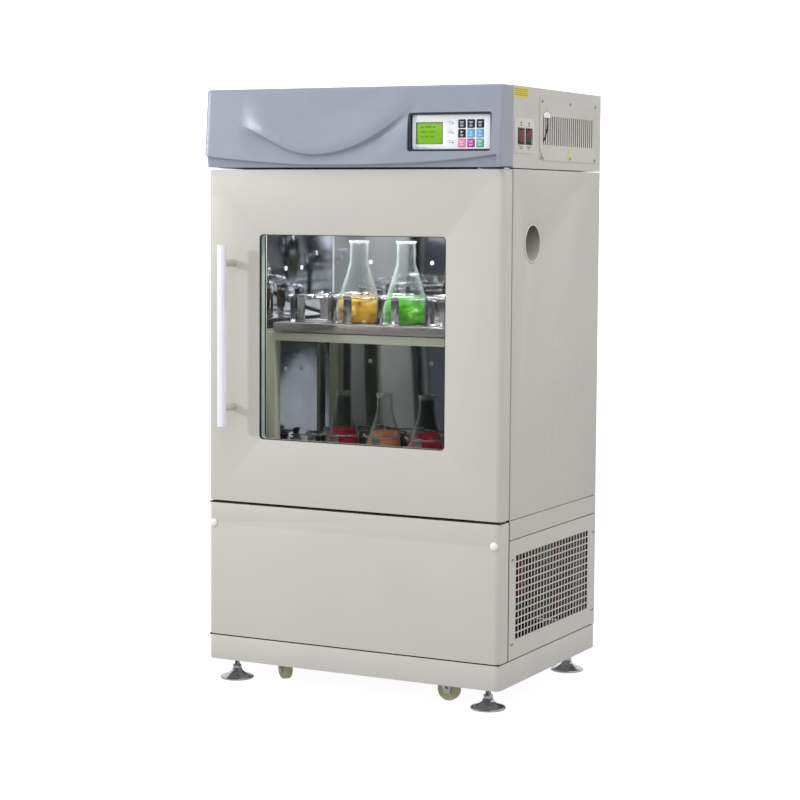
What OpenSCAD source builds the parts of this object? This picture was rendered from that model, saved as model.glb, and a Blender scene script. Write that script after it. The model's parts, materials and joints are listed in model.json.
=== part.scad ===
// Floor-standing incubated orbital shaker with two stacked trays, a glazed door and a side access port.
// +X is the machine's right as seen by a person facing its door, the door faces -Y, +Z is up.
// The origin is on the floor, under the middle of the whole machine.

/* [Cabinet] */
// Width of the cabinet and door
body_w = 720; // [640:1:840]
// Depth from the door's front face to the back
body_d = 532; // [500:1:640]
// Gap between the floor and the plinth
base_z = 50; // [45:1:60]
// Height of the plinth
plinth_h = 54; // [50:1:70]
// Height of the gap between lower cover and door
door_gap_z = 408; // [400:1:420]
// Height of the seam between door and header
header_z = 1150; // [1150:1:1200]
// Height of the top
top_z = 1324; // [1324:1:1380]
// Sheet thickness of the outer panels
sheet = 2; // [1.5:0.1:2.5]

/* [Chamber] */
// Clear width of the chamber
chamber_w = 604; // [596:1:606]
// Front edge of the chamber behind the door's front face
chamber_b0 = 51; // [51:1:51]
// Back wall of the chamber behind the door's front face
chamber_b1 = 470; // [468:1:474]
// Height of the chamber floor
chamber_z0 = 450; // [448:1:452]
// Height of the chamber ceiling
chamber_z1 = 1090; // [1080:1:1095]

/* [Door] */
// Thickness of the door
door_t = 45; // [45:1:45]
// Width of the window
window_w = 456; // [420:1:460]
// Bottom edge of the window
window_z0 = 554; // [550:1:570]
// Top edge of the window
window_z1 = 1007; // [980:1:1010]
// Length of the handle bar
handle_len = 400; // [360:1:420]
// Distance between the handle's two standoffs
handle_hole = 320; // [300:1:330]
// Reach of the handle in front of the door
handle_reach = 56; // [54:1:60]

/* [Shaker] */
// Radius of the orbit
orbit_r = 13; // [8:1:13]
// Height of the lower tray's top face
lower_tray_z = 508; // [508:1:520]
// Height of the upper tray's top face
upper_tray_z = 807; // [800:1:815]
// Width of the shaking frame
frame_w = 570; // [540:1:572]
// Radius of the main shaft
shaft_r = 12.5; // [12:0.5:14]
// Radial running clearance of a shaft in its housing
run_gap = 0.05; // [0.03:0.01:0.1]

/* [Hidden] */
$fn = 64;
half_w = body_w / 2;
// y of the door's front face: the whole machine, handle included, is centred on the origin
yf = -(body_d + handle_reach) / 2 + handle_reach;
gap = 3;             // half of the shadow gap between panels
cab_b0 = 49;         // front face of the cabinet behind the door
plinth_z1 = base_z + plinth_h;
cover_z0 = plinth_z1 + gap;
cover_z1 = door_gap_z - gap;
rail_z0 = 366;       // underside of the mid rail over the side grilles
door_z0 = door_gap_z + gap;
door_z1 = header_z - 1.5;
window_x = window_w / 2;
chamber_x = chamber_w / 2;

// Pivots
hinge_x = half_w - 12;
hinge_b = 22.5;
hinge_pin_r = 5;
port_b = 151;
port_z = 993;
port_r = 42;
crank_x = 0;
crank_b = 330;
idler_x = 170;
idler_b = 190;
idler_r = 8;
main_pin_r = 10;
idler_pin_r = 6;
pin_gap = 0.4;       // open clearance of the idler pins in the frame's bushes
fan_b = 260;
fan_z = 206;         // axis of the condenser fan

// Levels of the drive, from the bottom up
shaft_z0 = 296;
belt_z = 303;
belt_h = 14;
main_pulley_r = 80;
motor_pulley_r = 32;
motor_x = -190;
bed_z = 394;
bed_t = 10;
crank_z = 454;       // underside of the crank webs, above the chamber floor
web_h = 10;
pin_top_z = 484;

// Shaking frame
frame_b0 = 122;
frame_b1 = 447;
tube_s = 25;
beam_h = 19;
tray_flange = 20;
pad_h = 2.2;         // rubber pads under each tray
beam_top = upper_tray_z - tray_flange - pad_h;
base_beam_top = lower_tray_z - tray_flange - pad_h;
frame_z0 = base_beam_top - tube_s;
tray_t = 3;
tray_b0 = 115;
tray_b1 = 447;
upper_tray_x = 263;
lower_tray_x = 256;

// Flask places: [x, b] of each clamp; the big ones stand on the upper tray, the others on the lower
big_r = 52.5;
big_h = 186;
big_neck = 21;
small_r = 42.5;
small_h = 145;
small_neck = 17.5;
mini_r = 32;
big_ring = 57;
small_ring = 46;
mini_ring = 36;
big_x0 = -200;
big_pitch = 119;
big_rows = [190, 330];
small_x0 = -112;
small_pitch = 105;
small_rows = [178, 310];
big_places = [for (b = big_rows, i = [0:3]) [big_x0 + i * big_pitch, b]];
small_places = [for (b = small_rows, i = [0:3]) [small_x0 + i * small_pitch, b]];
mini_places = [for (b = [168, 250, 332]) [-207, b]];
// the clamps that hold a flask: the middle two of the upper front row, three of the lower one
big_loaded = [for (i = [1, 2]) big_places[i]];
small_loaded = [for (i = [0, 1, 2]) small_places[i]];

// Header
fascia_z0 = header_z + 3;
fascia_lip = 16;     // how far the lip leans out in front of the door
bezel_x0 = 138;
bezel_x1 = 337;
bezel_z0 = 1184;
bezel_z1 = 1269;
panel_b = 2;         // front of the control plate behind the door's face plane
lcd_x0 = 155;
lcd_x1 = 217;
lcd_z0 = 1201.5;
lcd_z1 = 1246.5;
lamp_x = 241;        // the three lamps, level with the key rows
key_s = 17;
key_pitch_x = 21;
key_pitch_z = 20;
key_x0 = 262;
key_z0 = 1203;

// Side features
grille_b0 = 81;
grille_b1 = 489;
grille_z0 = 147;
grille_z1 = 331;
grille_cols = 24;
grille_rows = 12;
side_vent_slots = 24;
side_vent_b0 = 198;
side_vent_pitch = 11.96;
rocker_b = [82, 123];
rocker_z = 1219;
rocker_pivot = 5;    // pivot of the rockers behind the panel's face

// Running gear
foot_x = 314;
foot_b0 = 48;
foot_b1 = 484;
foot_r = 38;
caster_x = 206;      // rigid rear casters
caster_b = 452;
stem_x = 193;        // swivel stems of the front casters
stem_b = 70;
caster_trail = 18;
turn_left = -130;    // how far each front caster is swivelled at rest
turn_right = 90;
wheel_r = 25;
wheel_w = 21;
wheel_z = 27.5;

// ---------- helpers ----------

function yb(b) = yf + b;

// Points of a rounded corner about (cx, cy), a quarter turn from angle a0
function corner(cx, cy, r, a0, n = 6) =
    [for (i = [0:n]) [cx + r * cos(a0 + 90 * i / n), cy + r * sin(a0 + 90 * i / n)]];

// Rounded rectangle: rf on the -Y corners, rb on the +Y corners
module rounded(x0, x1, y0, y1, rf, rb) {
    polygon(concat(
        corner(x0 + rf, y0 + rf, rf, 180),
        corner(x1 - rf, y0 + rf, rf, 270),
        corner(x1 - rb, y1 - rb, rb, 0),
        corner(x0 + rb, y1 - rb, rb, 90)));
}

module block(x0, x1, b0, b1, z0, z1) {
    translate([x0, yb(b0), z0]) cube([x1 - x0, b1 - b0, z1 - z0]);
}

// Block with rounded vertical edges
module post(x0, x1, b0, b1, z0, z1, rf, rb) {
    translate([0, 0, z0]) linear_extrude(z1 - z0) rounded(x0, x1, yb(b0), yb(b1), rf, rb);
}

// Cylinders along each axis
module rod_z(x, b, z0, z1, r) {
    translate([x, yb(b), z0]) cylinder(h = z1 - z0, r = r);
}

module rod_x(x0, x1, b, z, r) {
    translate([x0, yb(b), z]) rotate([0, 90, 0]) cylinder(h = x1 - x0, r = r);
}

module rod_y(x, b0, b1, z, r) {
    translate([x, yb(b0), z]) rotate([-90, 0, 0]) cylinder(h = b1 - b0, r = r);
}

// Rounded rectangle standing in the XZ plane, b0 to b1 deep
module panel_xz(x0, x1, z0, z1, b0, b1, r) {
    translate([0, yb(b1), 0]) rotate([90, 0, 0]) linear_extrude(b1 - b0)
        rounded(x0, x1, z0, z1, r, r);
}

module mirrored_x() {
    children();
    mirror([1, 0, 0]) children();
}

// ---------- cabinet ----------

// Folded sheet plinth with cross channels for the casters and feet
module base_frame() {
    color([0.80, 0.79, 0.76]) {
        difference() {
            post(-half_w, half_w, 0, body_d, base_z, plinth_z1, 14, 4);
            post(-half_w + 3, half_w - 3, 3, body_d - 3, base_z - 1, plinth_z1 - 3, 11, 2);
            block(-half_w + 40, half_w - 40, 150, 420, plinth_z1 - 4, plinth_z1 + 1);
            for (x = [-foot_x, foot_x], b = [foot_b0, foot_b1])
                rod_z(x, b, plinth_z1 - 4, plinth_z1 + 1, 7);
        }
        for (b = [[24, 116], [416, 508]]) difference() {
            block(-half_w + 3, half_w - 3, b[0], b[1], 72, 76);
            for (x = [-foot_x, foot_x], f = [foot_b0, foot_b1]) rod_z(x, f, 71, 77, 6.08);
            for (x = [-stem_x, stem_x]) rod_z(x, stem_b, 71, 77, 6.5);
        }
        // rigid rear caster brackets
        for (x = [-caster_x, caster_x]) {
            for (s = [-1, 1]) {
                sx = x + s * (wheel_w / 2 + 2);
                block(sx - 1.25, sx + 1.25, caster_b - 12, caster_b + 12, 16, 69.5);
            }
            block(x - 24, x + 24, caster_b - 28, caster_b + 28, 69, 72);
            rod_x(x - wheel_w / 2 - 5, x + wheel_w / 2 + 5, caster_b, wheel_z, 4);
        }
    }
}

// Corner posts, mid rails and the back sheet round the machinery
module machine_bay_frame() {
    color([0.74, 0.73, 0.71]) {
        mirrored_x() {
            block(318, 348, 52, 82, plinth_z1, door_gap_z);
            block(318, 348, 498, 528, plinth_z1, door_gap_z);
            // side mid rail
            block(half_w - sheet, half_w, cab_b0, body_d, rail_z0, door_gap_z - 1);
            block(348, half_w - sheet, 60, 520, door_gap_z - 30, door_gap_z - 26);
            // cross beams that carry the drive bed
            block(232, 318, 120, 150, bed_z - 12, door_gap_z - 0.5);
            block(232, 318, 400, 430, bed_z - 12, door_gap_z - 0.5);
        }
        block(-318, 318, 55, 75, door_gap_z - 20, door_gap_z);
        difference() {
            block(-half_w, half_w, body_d - sheet, body_d, plinth_z1 + 1, door_gap_z - 1);
            // mains inlet cut-out and vents
            block(-300, -260, body_d - 4, body_d + 1, 150, 180);
            for (i = [0:7]) block(-100, 100, body_d - 4, body_d + 1, 180 + 18 * i, 188 + 18 * i);
        }
        block(-298, -262, body_d - 24, body_d + 0.5 - sheet, 152, 178);
    }
}

// Removable cover in front of the machinery, with returns round both sides
module lower_front_cover() {
    color([0.80, 0.79, 0.77]) difference() {
        post(-half_w, half_w, 0, 44, cover_z0, cover_z1, 14, 0.5);
        post(-half_w + sheet, half_w - sheet, sheet, 46, cover_z0 + sheet, cover_z1 - sheet, 12, 0.5);
        for (x = [-346, 346]) rod_y(x, -1, 4, 359, 4.2);
    }
}

// Perforated side panels
module grille_panel() {
    cp = (grille_b1 - grille_b0) / grille_cols;
    rp = (grille_z1 - grille_z0) / grille_rows;
    difference() {
        block(half_w - sheet, half_w, 49, 529, cover_z0, rail_z0 - 2);
        for (i = [0:grille_cols - 1], k = [0:grille_rows - 1])
            block(half_w - sheet - 1, half_w + 1,
                grille_b0 + cp * i + 2, grille_b0 + cp * (i + 1) - 2,
                grille_z0 + rp * k + 1.5, grille_z0 + rp * (k + 1) - 1.5);
    }
}

module side_grille_panels() {
    color([0.76, 0.75, 0.73]) mirrored_x() grille_panel();
}

// Round-headed screws of the side panels and vent panels, and the cover's two domed caps
module panel_fasteners() {
    color([0.85, 0.85, 0.85]) {
        mirrored_x() {
            for (b = [63, 517], z = [141, 323]) rod_x(half_w, half_w + 2, b, z, 4.5);
            for (b = [190, 347, 492], z = [1177, 1297]) rod_x(half_w + 1.5, half_w + 3.2, b, z, 4);
        }
        for (x = [-346, 346]) {
            intersection() {
                translate([x, yb(5), 359]) sphere(r = 11);
                rod_y(x, -6, 0, 359, 9.2);
            }
            rod_y(x, 0, 10, 359, 4);
        }
    }
}

// Holes through the chamber floor and ceiling
module drive_holes(z0, z1, extra) {
    rod_z(crank_x, crank_b, z0, z1, 30 + extra);
    for (x = [-idler_x, idler_x]) rod_z(x, idler_b, z0, z1, 22 + extra);
}

// Outer sheet skin of the incubator
module cabinet_shell() {
    color([0.78, 0.77, 0.74]) difference() {
        block(-half_w, half_w, cab_b0, body_d, door_gap_z, header_z);
        block(-half_w + sheet, half_w - sheet, cab_b0 + sheet, body_d - sheet,
            door_gap_z + sheet, header_z - sheet);
        block(-chamber_x, chamber_x, cab_b0 - 1, cab_b0 + sheet + 1, chamber_z0, chamber_z1);
        rod_x(half_w - 4, half_w + 1, port_b, port_z, port_r);
        drive_holes(door_gap_z - 1, door_gap_z + 3, 0.6);
        rod_z(0, fan_b, header_z - 3, header_z + 1, 16);
    }
}

// Foam between skin and liner
module insulation() {
    color([0.93, 0.88, 0.72]) difference() {
        block(-half_w + 2.2, half_w - 2.2, cab_b0 + 2.2, body_d - 2.2,
            door_gap_z + 2.2, header_z - 2.2);
        block(-chamber_x - 2.2, chamber_x + 2.2, cab_b0, chamber_b1 + 2.2,
            chamber_z0 - 2.2, chamber_z1 + 2.2);
        rod_x(chamber_x, half_w, port_b, port_z, port_r + 0.2);
        drive_holes(door_gap_z - 1, chamber_z0, 0.6);
        rod_z(0, fan_b, chamber_z1, header_z, 16);
    }
}

// Polished stainless chamber, open at the front
module chamber_liner() {
    color([0.82, 0.84, 0.86]) difference() {
        block(-chamber_x - 2, chamber_x + 2, chamber_b0, chamber_b1 + 2, chamber_z0 - 2, chamber_z1 + 2);
        block(-chamber_x, chamber_x, chamber_b0 - 1, chamber_b1, chamber_z0, chamber_z1);
        rod_x(chamber_x - 1, chamber_x + 3, port_b, port_z, port_r);
        drive_holes(chamber_z0 - 3, chamber_z0 + 1, 0.6);
        rod_z(0, fan_b, chamber_z1 - 1, chamber_z1 + 3, 16);
    }
}

// Sheet housing of the electrics over the chamber: floor, back, roof and two side sheets
seam = 0.1;
module header_side() {
    difference() {
        block(half_w - sheet, half_w, door_t, body_d, header_z + 2, top_z);
        block(half_w - 3, half_w + 1, side_vent_b0 - 6, side_vent_b0 + 288, 1195, 1280);
    }
}

module top_housing() {
    inner_x = half_w - sheet - seam;
    inner_b = body_d - sheet - seam;
    color([0.77, 0.76, 0.73]) {
        difference() {
            block(-inner_x, inner_x, door_t, inner_b, header_z + 2, header_z + 4);
            block(-34, 34, fan_b - 34, fan_b + 34, header_z, header_z + 5);
        }
        block(-inner_x, inner_x, body_d - sheet, body_d, header_z + 2, top_z - sheet - seam);
        block(-inner_x, inner_x, door_t, body_d, top_z - sheet, top_z);
        mirror([1, 0, 0]) header_side();
        difference() {
            header_side();
            block(half_w - 3, half_w + 1, 64, 142, 1200, 1238);
        }
    }
}

// Outline of the fascia, [b, z] from the top back round the front to the bottom back
module fascia_profile(inset) {
    z0 = fascia_z0 + inset;
    z1 = top_z - inset;
    polygon(concat(
        [[45, z1], [4, z1]],
        [[-1 + inset, z1 - 2], [-4 + inset, z1 - 8]],
        [[-10 + inset, z1 - 70], [-15 + inset, z0 + 30]],
        [[-fascia_lip + inset, z0 + 22], [-fascia_lip + 2 + inset, z0 + 17]],
        [[-2 + inset, z0 + 8], [0 + inset, z0], [45, z0]]));
}

// Moulded plastic front of the header
module header_fascia() {
    color([0.60, 0.63, 0.70]) difference() {
        translate([-half_w, yf, 0]) rotate([90, 0, 90]) linear_extrude(body_w) fascia_profile(0);
        translate([-half_w + 3, yf, 0]) rotate([90, 0, 90]) linear_extrude(body_w - 6)
            fascia_profile(3);
        block(-half_w + 3, half_w - 3, 30, 46, fascia_z0 + 3, top_z - 3);
        panel_xz(bezel_x0 + 2, bezel_x1 - 2, bezel_z0 + 2, bezel_z1 - 2, -20, 30, 5);
    }
}

// Dark tray sunk in the fascia round the controls
module control_bezel() {
    color([0.12, 0.15, 0.28]) difference() {
        panel_xz(bezel_x0 + 2.3, bezel_x1 - 2.3, bezel_z0 + 2.3, bezel_z1 - 2.3, -7, 8, 5);
        panel_xz(bezel_x0 + 6, bezel_x1 - 6, bezel_z0 + 6, bezel_z1 - 6, -8, 5, 4);
        panel_xz(lcd_x0, lcd_x1, lcd_z0, lcd_z1, 4, 9, 1);
        key_grid() panel_xz(-key_s / 2 - 0.5, key_s / 2 + 0.5, -key_s / 2 - 0.5, key_s / 2 + 0.5, 4, 9, 2);
    }
}

// Places children at each of the nine keys
module key_grid() {
    for (i = [0:2], k = [0:2])
        translate([key_x0 + key_pitch_x * i, 0, key_z0 + key_pitch_z * k]) children();
}

// White overlay plate with the display window and key openings
module control_plate() {
    color([0.93, 0.94, 0.96]) difference() {
        panel_xz(bezel_x0 + 8, bezel_x1 - 8, bezel_z0 + 6.5, bezel_z1 - 6.5, panel_b, 4.8, 4);
        panel_xz(lcd_x0, lcd_x1, lcd_z0, lcd_z1, 0, 6, 1);
        key_grid() panel_xz(-key_s / 2 - 0.5, key_s / 2 + 0.5, -key_s / 2 - 0.5, key_s / 2 + 0.5, 0, 6, 2);
        for (k = [0:2]) rod_y(lamp_x, 0, 6, key_z0 + 1 + key_pitch_z * k, 1.6);
    }
}

// Display module behind the plate
module lcd_display() {
    color([0.55, 0.78, 0.20])
        panel_xz(lcd_x0 + 0.4, lcd_x1 - 0.4, lcd_z0 + 0.4, lcd_z1 - 0.4, 3.4, 16, 1);
}

// One key cap with its stem; col 0 to 2 from the left, row 0 to 2 from the bottom
module key_cap(col, row, tint) {
    x = key_x0 + key_pitch_x * col;
    z = key_z0 + key_pitch_z * row;
    color(tint) {
        panel_xz(x - key_s / 2, x + key_s / 2, z - key_s / 2, z + key_s / 2, 1, 7, 2);
    }
}

module key_mode() { key_cap(0, 2, [0.08, 0.09, 0.12]); }
module key_set() { key_cap(1, 2, [0.08, 0.09, 0.12]); }
module key_shift() { key_cap(2, 2, [0.08, 0.09, 0.12]); }
module key_right() { key_cap(0, 1, [0.08, 0.09, 0.12]); }
module key_up() { key_cap(1, 1, [0.25, 0.62, 0.85]); }
module key_down() { key_cap(2, 1, [0.25, 0.62, 0.85]); }
module key_light() { key_cap(0, 0, [0.90, 0.45, 0.65]); }
module key_stop() { key_cap(1, 0, [0.80, 0.25, 0.60]); }
module key_start() { key_cap(2, 0, [0.20, 0.62, 0.50]); }

// Plate on the right side that holds the two rocker switches, with the ears they turn in
module switch_plate() {
    color([0.88, 0.88, 0.86]) difference() {
        union() {
            block(half_w, half_w + 1.2, 50, 152, 1183, 1257);
            for (b = rocker_b) {
                block(half_w + 0.6, half_w + 2.6, b - 16.5, b + 16.5, rocker_z - 17.5, rocker_z + 17.5);
                for (f = [b - 16, b + 13.6])
                    block(half_w - 9, half_w + 0.5, f, f + 2.4, rocker_z - 7, rocker_z + 7);
            }
        }
        for (b = rocker_b) {
            block(half_w - 1, half_w + 3, b - 13.5, b + 13.5, rocker_z - 15.3, rocker_z + 15.3);
            rod_y(half_w - rocker_pivot, b - 17, b + 17, rocker_z, 2 + run_gap);
        }
    }
}

// Rocker cap: a shallow vee on a pivot block behind the plate; up says which end stands out
module rocker(b, up, tint) {
    color(tint) {
        translate([half_w, yb(b + 13), rocker_z]) rotate([90, 0, 0]) linear_extrude(26)
            mirror([0, up ? 0 : 1]) polygon([[-8, -6], [-4, -6], [-3, -13.6], [0.6, -13.6], [1.8, 0],
                [3.6, 13.3], [-3, 13.6], [-4, 6], [-8, 6]]);
        rod_y(half_w - rocker_pivot, b - 15.8, b + 15.8, rocker_z, 2);
    }
}
module rocker_power() { rocker(rocker_b[0], false, [0.75, 0.12, 0.10]); }
module rocker_lamp() { rocker(rocker_b[1], true, [0.10, 0.28, 0.16]); }

// Louvred covers over the electrics, one on each side
module header_vent_panel() {
    color([0.77, 0.76, 0.73]) mirrored_x() difference() {
        translate([half_w, 0, 0]) rotate([90, 0, 90]) linear_extrude(1.5)
            polygon([[yb(206), 1170], [yb(509), 1170], [yb(509), 1306], [yb(181), 1306], [yb(181), 1195]]);
        for (i = [0:side_vent_slots - 1])
            block(half_w - 1, half_w + 3, side_vent_b0 + side_vent_pitch * i,
                side_vent_b0 + 5 + side_vent_pitch * i, 1204, 1266);
    }
}

// Sleeve of the access port, flush with both walls
module port_tube() {
    color([0.85, 0.83, 0.78]) difference() {
        rod_x(chamber_x - 2, half_w + 1.5, port_b, port_z, port_r - 0.2);
        rod_x(chamber_x - 3, half_w + 3, port_b, port_z, port_r - 4);
    }
}

// Ribbed stopper in the port, with a recessed grip
module port_plug() {
    color([0.83, 0.82, 0.78]) difference() {
        union() {
            rod_x(chamber_x + 2, half_w - 36, port_b, port_z, port_r - 4.3);
            rod_x(half_w - 38, half_w - 28, port_b, port_z, 9);
        }
        for (a = [0:60:300]) rotate_about_port(a)
            block(half_w - 40, half_w - 32, port_b + 14, port_b + 30, port_z - 3, port_z + 3);
    }
}
module rotate_about_port(a) {
    translate([0, yb(port_b), port_z]) rotate([a, 0, 0]) translate([0, -yb(port_b), -port_z]) children();
}

// ---------- door ----------

// Painted outer skin with a sleeve round the window
module door_shell() {
    color([0.81, 0.80, 0.78]) difference() {
        union() {
            difference() {
                post(-half_w, half_w, 0, door_t, door_z0, door_z1, 12, 3);
                post(-half_w + sheet, half_w - sheet, sheet, door_t + 1,
                    door_z0 + sheet, door_z1 - sheet, 10, 1);
            }
            panel_xz(-window_x - sheet, window_x + sheet, window_z0 - sheet, window_z1 + sheet, 0, 21.7, 11);
        }
        panel_xz(-window_x, window_x, window_z0, window_z1, -1, 23, 9);
        rod_z(hinge_x, hinge_b, door_z0 - 1, door_z0 + 3, hinge_pin_r + 0.5);
        rod_z(hinge_x, hinge_b, door_z1 - 3, door_z1 + 1, hinge_pin_r + 0.5);
    }
}

// Foam-filled inner door, rebated for the two panes
module door_inner_panel() {
    color([0.90, 0.90, 0.88]) difference() {
        post(-half_w + 2.3, half_w - 2.3, 2.3, door_t, door_z0 + 2.3, door_z1 - 2.3, 9.7, 1);
        panel_xz(-window_x - 2.3, window_x + 2.3, window_z0 - 2.3, window_z1 + 2.3, 1, 22, 11.3);
        panel_xz(-window_x - 11, window_x + 11, window_z0 - 11, window_z1 + 11, 21.8, 42.2, 6);
        panel_xz(-window_x - 8, window_x + 8, window_z0 - 8, window_z1 + 8, 40, door_t + 1, 9);
        rod_z(hinge_x, hinge_b, door_z0, door_z0 + 40, hinge_pin_r + run_gap);
        rod_z(hinge_x, hinge_b, door_z1 - 40, door_z1, hinge_pin_r + run_gap);
    }
}

// Two tempered panes
module door_glass() {
    color([0.80, 0.92, 0.90, 0.35]) for (b = [22, 37.8])
        panel_xz(-window_x - 10.5, window_x + 10.5, window_z0 - 10.5, window_z1 + 10.5, b, b + 4, 5);
}

// Spacer ring between the panes and magnetic gasket round the chamber
module door_seals() {
    color([0.10, 0.10, 0.11]) {
        difference() {
            panel_xz(-window_x - 10.5, window_x + 10.5, window_z0 - 10.5, window_z1 + 10.5, 26, 37.8, 5);
            panel_xz(-window_x - 4.5, window_x + 4.5, window_z0 - 4.5, window_z1 + 4.5, 25, 39, 8);
        }
        difference() {
            panel_xz(-chamber_x - 16, chamber_x + 16, chamber_z0 - 16, chamber_z1 + 16, door_t, 48.6, 4);
            panel_xz(-chamber_x - 3, chamber_x + 3, chamber_z0 - 3, chamber_z1 + 3, door_t - 1, 50, 3);
        }
    }
}

// Bar handle on two standoffs, near the door's free edge
handle_x = -296;
handle_z = 783;
module door_handle() {
    color([0.93, 0.93, 0.94]) {
        translate([0, 0, handle_z - handle_len / 2]) linear_extrude(handle_len)
            rounded(handle_x - 10, handle_x + 10, yf - handle_reach, yf - handle_reach + 18, 8, 8);
        for (s = [-1, 1]) {
            z = handle_z + s * handle_hole / 2;
            rod_y(handle_x, -handle_reach + 9, 0, z, 8);
        }
    }
}

// Top and bottom hinge brackets with their pins
module hinge_bracket(z_plate, z_flange0, z_flange1, z_pin0, z_pin1) {
    block(hinge_x - 52, hinge_x + 8, 9, 48.8, z_plate, z_plate + 2.6);
    block(hinge_x - 52, hinge_x - 18, 46.3, 49, z_flange0, z_flange1);
    rod_z(hinge_x, hinge_b, z_pin0, z_pin1, hinge_pin_r);
}

module hinge_brackets() {
    color([0.75, 0.76, 0.78]) {
        hinge_bracket(door_z1 + 0.8, door_z1 - 34, door_z1 + 2, door_z1 - 36, door_z1 + 1);
        hinge_bracket(door_z0 - 3.4, door_z0 - 2, door_z0 + 19, door_z0 - 1, door_z0 + 36);
    }
}

// ---------- shaker drive ----------

// Steel bed with three sealed bearing housings that rise through the chamber floor
module drive_bed() {
    color([0.35, 0.37, 0.40]) difference() {
        union() {
            block(-230, 230, 130, 430, bed_z, bed_z + bed_t);
            mirrored_x() block(225, 316, 122, 148, bed_z - 16, bed_z - 12);
            mirrored_x() block(225, 316, 402, 428, bed_z - 16, bed_z - 12);
            mirrored_x() block(225, 230, 122, 428, bed_z - 16, bed_z + 1);
            rod_z(crank_x, crank_b, 346, chamber_z0 + 2, 30);
            for (x = [-idler_x, idler_x]) rod_z(x, idler_b, 366, chamber_z0 + 2, 22);
        }
        rod_z(crank_x, crank_b, 340, chamber_z0 + 4, shaft_r + run_gap);
        for (x = [-idler_x, idler_x]) rod_z(x, idler_b, 360, chamber_z0 + 4, idler_r + run_gap);
        rod_z(motor_x, crank_b, bed_z - 1, bed_z + bed_t + 1, 9);
        rod_z(motor_x, crank_b, bed_z - 20, bed_z, 59);
    }
}

// Main shaft with pulley, counterweight, crank web and eccentric pin
module main_crank() {
    color([0.62, 0.64, 0.67]) {
        rod_z(crank_x, crank_b, shaft_z0, crank_z + 2, shaft_r);
        rod_z(crank_x, crank_b, crank_z, crank_z + web_h, 34);
        rod_z(crank_x, crank_b + orbit_r, crank_z + web_h - 1, pin_top_z, main_pin_r);
        // pulley
        rod_z(crank_x, crank_b, belt_z - 1, belt_z + belt_h + 1, main_pulley_r);
        for (z = [belt_z - 3, belt_z + belt_h + 1])
            rod_z(crank_x, crank_b, z, z + 2, main_pulley_r + 5);
        // counterweight opposite the pin
        intersection() {
            rod_z(crank_x, crank_b, 324, 342, 92);
            block(crank_x - 92, crank_x + 92, crank_b - 92, crank_b - 6, 324, 342);
        }
        rod_z(crank_x, crank_b, 320, 343, 22);
    }
}

module idler_crank(x) {
    color([0.66, 0.68, 0.70]) {
        rod_z(x, idler_b, 358, crank_z + 2, idler_r);
        rod_z(x, idler_b, 354, 360, 13);
        rod_z(x, idler_b, crank_z, crank_z + web_h, 26);
        rod_z(x, idler_b + orbit_r, crank_z + web_h - 1, pin_top_z, idler_pin_r);
    }
}
module idler_crank_left() { idler_crank(-idler_x); }
module idler_crank_right() { idler_crank(idler_x); }

// Flat belt round both pulleys
module belt_loop(extra) {
    hull() {
        translate([crank_x, yb(crank_b)]) circle(r = main_pulley_r + extra);
        translate([motor_x, yb(crank_b)]) circle(r = motor_pulley_r + extra);
    }
}

module drive_belt() {
    color([0.08, 0.08, 0.08]) translate([0, 0, belt_z + 0.5]) linear_extrude(belt_h - 1)
        difference() {
            belt_loop(3.6);
            belt_loop(0.6);
        }
}

module drive_motor() {
    color([0.20, 0.21, 0.23]) difference() {
        union() {
            rod_z(motor_x, crank_b, 326, bed_z, 58);
            rod_z(motor_x, crank_b, 322, 327, 30);
            block(motor_x - 20, motor_x + 20, crank_b + 50, crank_b + 72, 345, 385);
        }
        rod_z(motor_x, crank_b, 320, bed_z - 6, 7 + run_gap);
    }
}

module motor_pulley() {
    color([0.60, 0.62, 0.64]) {
        rod_z(motor_x, crank_b, belt_z - 3, bed_z - 8, 7);
        rod_z(motor_x, crank_b, belt_z - 1, belt_z + belt_h + 1, motor_pulley_r);
        for (z = [belt_z - 3, belt_z + belt_h + 1]) rod_z(motor_x, crank_b, z, z + 2, motor_pulley_r + 5);
    }
}

// ---------- shaking frame, trays and load ----------

// Square-tube rack on a base plate with three bushes
module shaking_frame() {
    frame_x = frame_w / 2;
    color([0.68, 0.70, 0.62]) difference() {
        union() {
            for (x = [-frame_x, frame_x - tube_s], b = [frame_b0, frame_b1 - tube_s])
                block(x, x + tube_s, b, b + tube_s, frame_z0, beam_top);
            for (x = [-frame_x, frame_x - tube_s]) {
                block(x, x + tube_s, frame_b0 + 1, frame_b1 - 1, frame_z0, base_beam_top);
                block(x, x + tube_s, frame_b0 + 1, frame_b1 - 1, beam_top - beam_h, beam_top);
            }
            for (b = [frame_b0, frame_b1 - tube_s]) {
                block(-frame_x + 1, frame_x - 1, b, b + tube_s, frame_z0, base_beam_top);
                block(-frame_x + 1, frame_x - 1, b, b + tube_s, beam_top - beam_h, beam_top);
            }
            block(-frame_x + 5, frame_x - 5, 140, 430, frame_z0 + 6, frame_z0 + 12);
            rod_z(crank_x, crank_b + orbit_r, frame_z0 + 6, pin_top_z - 2, 24);
            for (x = [-idler_x, idler_x])
                rod_z(x, idler_b + orbit_r, frame_z0 + 6, pin_top_z - 2, 16);
        }
        rod_z(crank_x, crank_b + orbit_r, frame_z0, pin_top_z + 1, main_pin_r + run_gap);
        for (x = [-idler_x, idler_x])
            rod_z(x, idler_b + orbit_r, frame_z0, pin_top_z + 1, idler_pin_r + pin_gap);
    }
}

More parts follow.
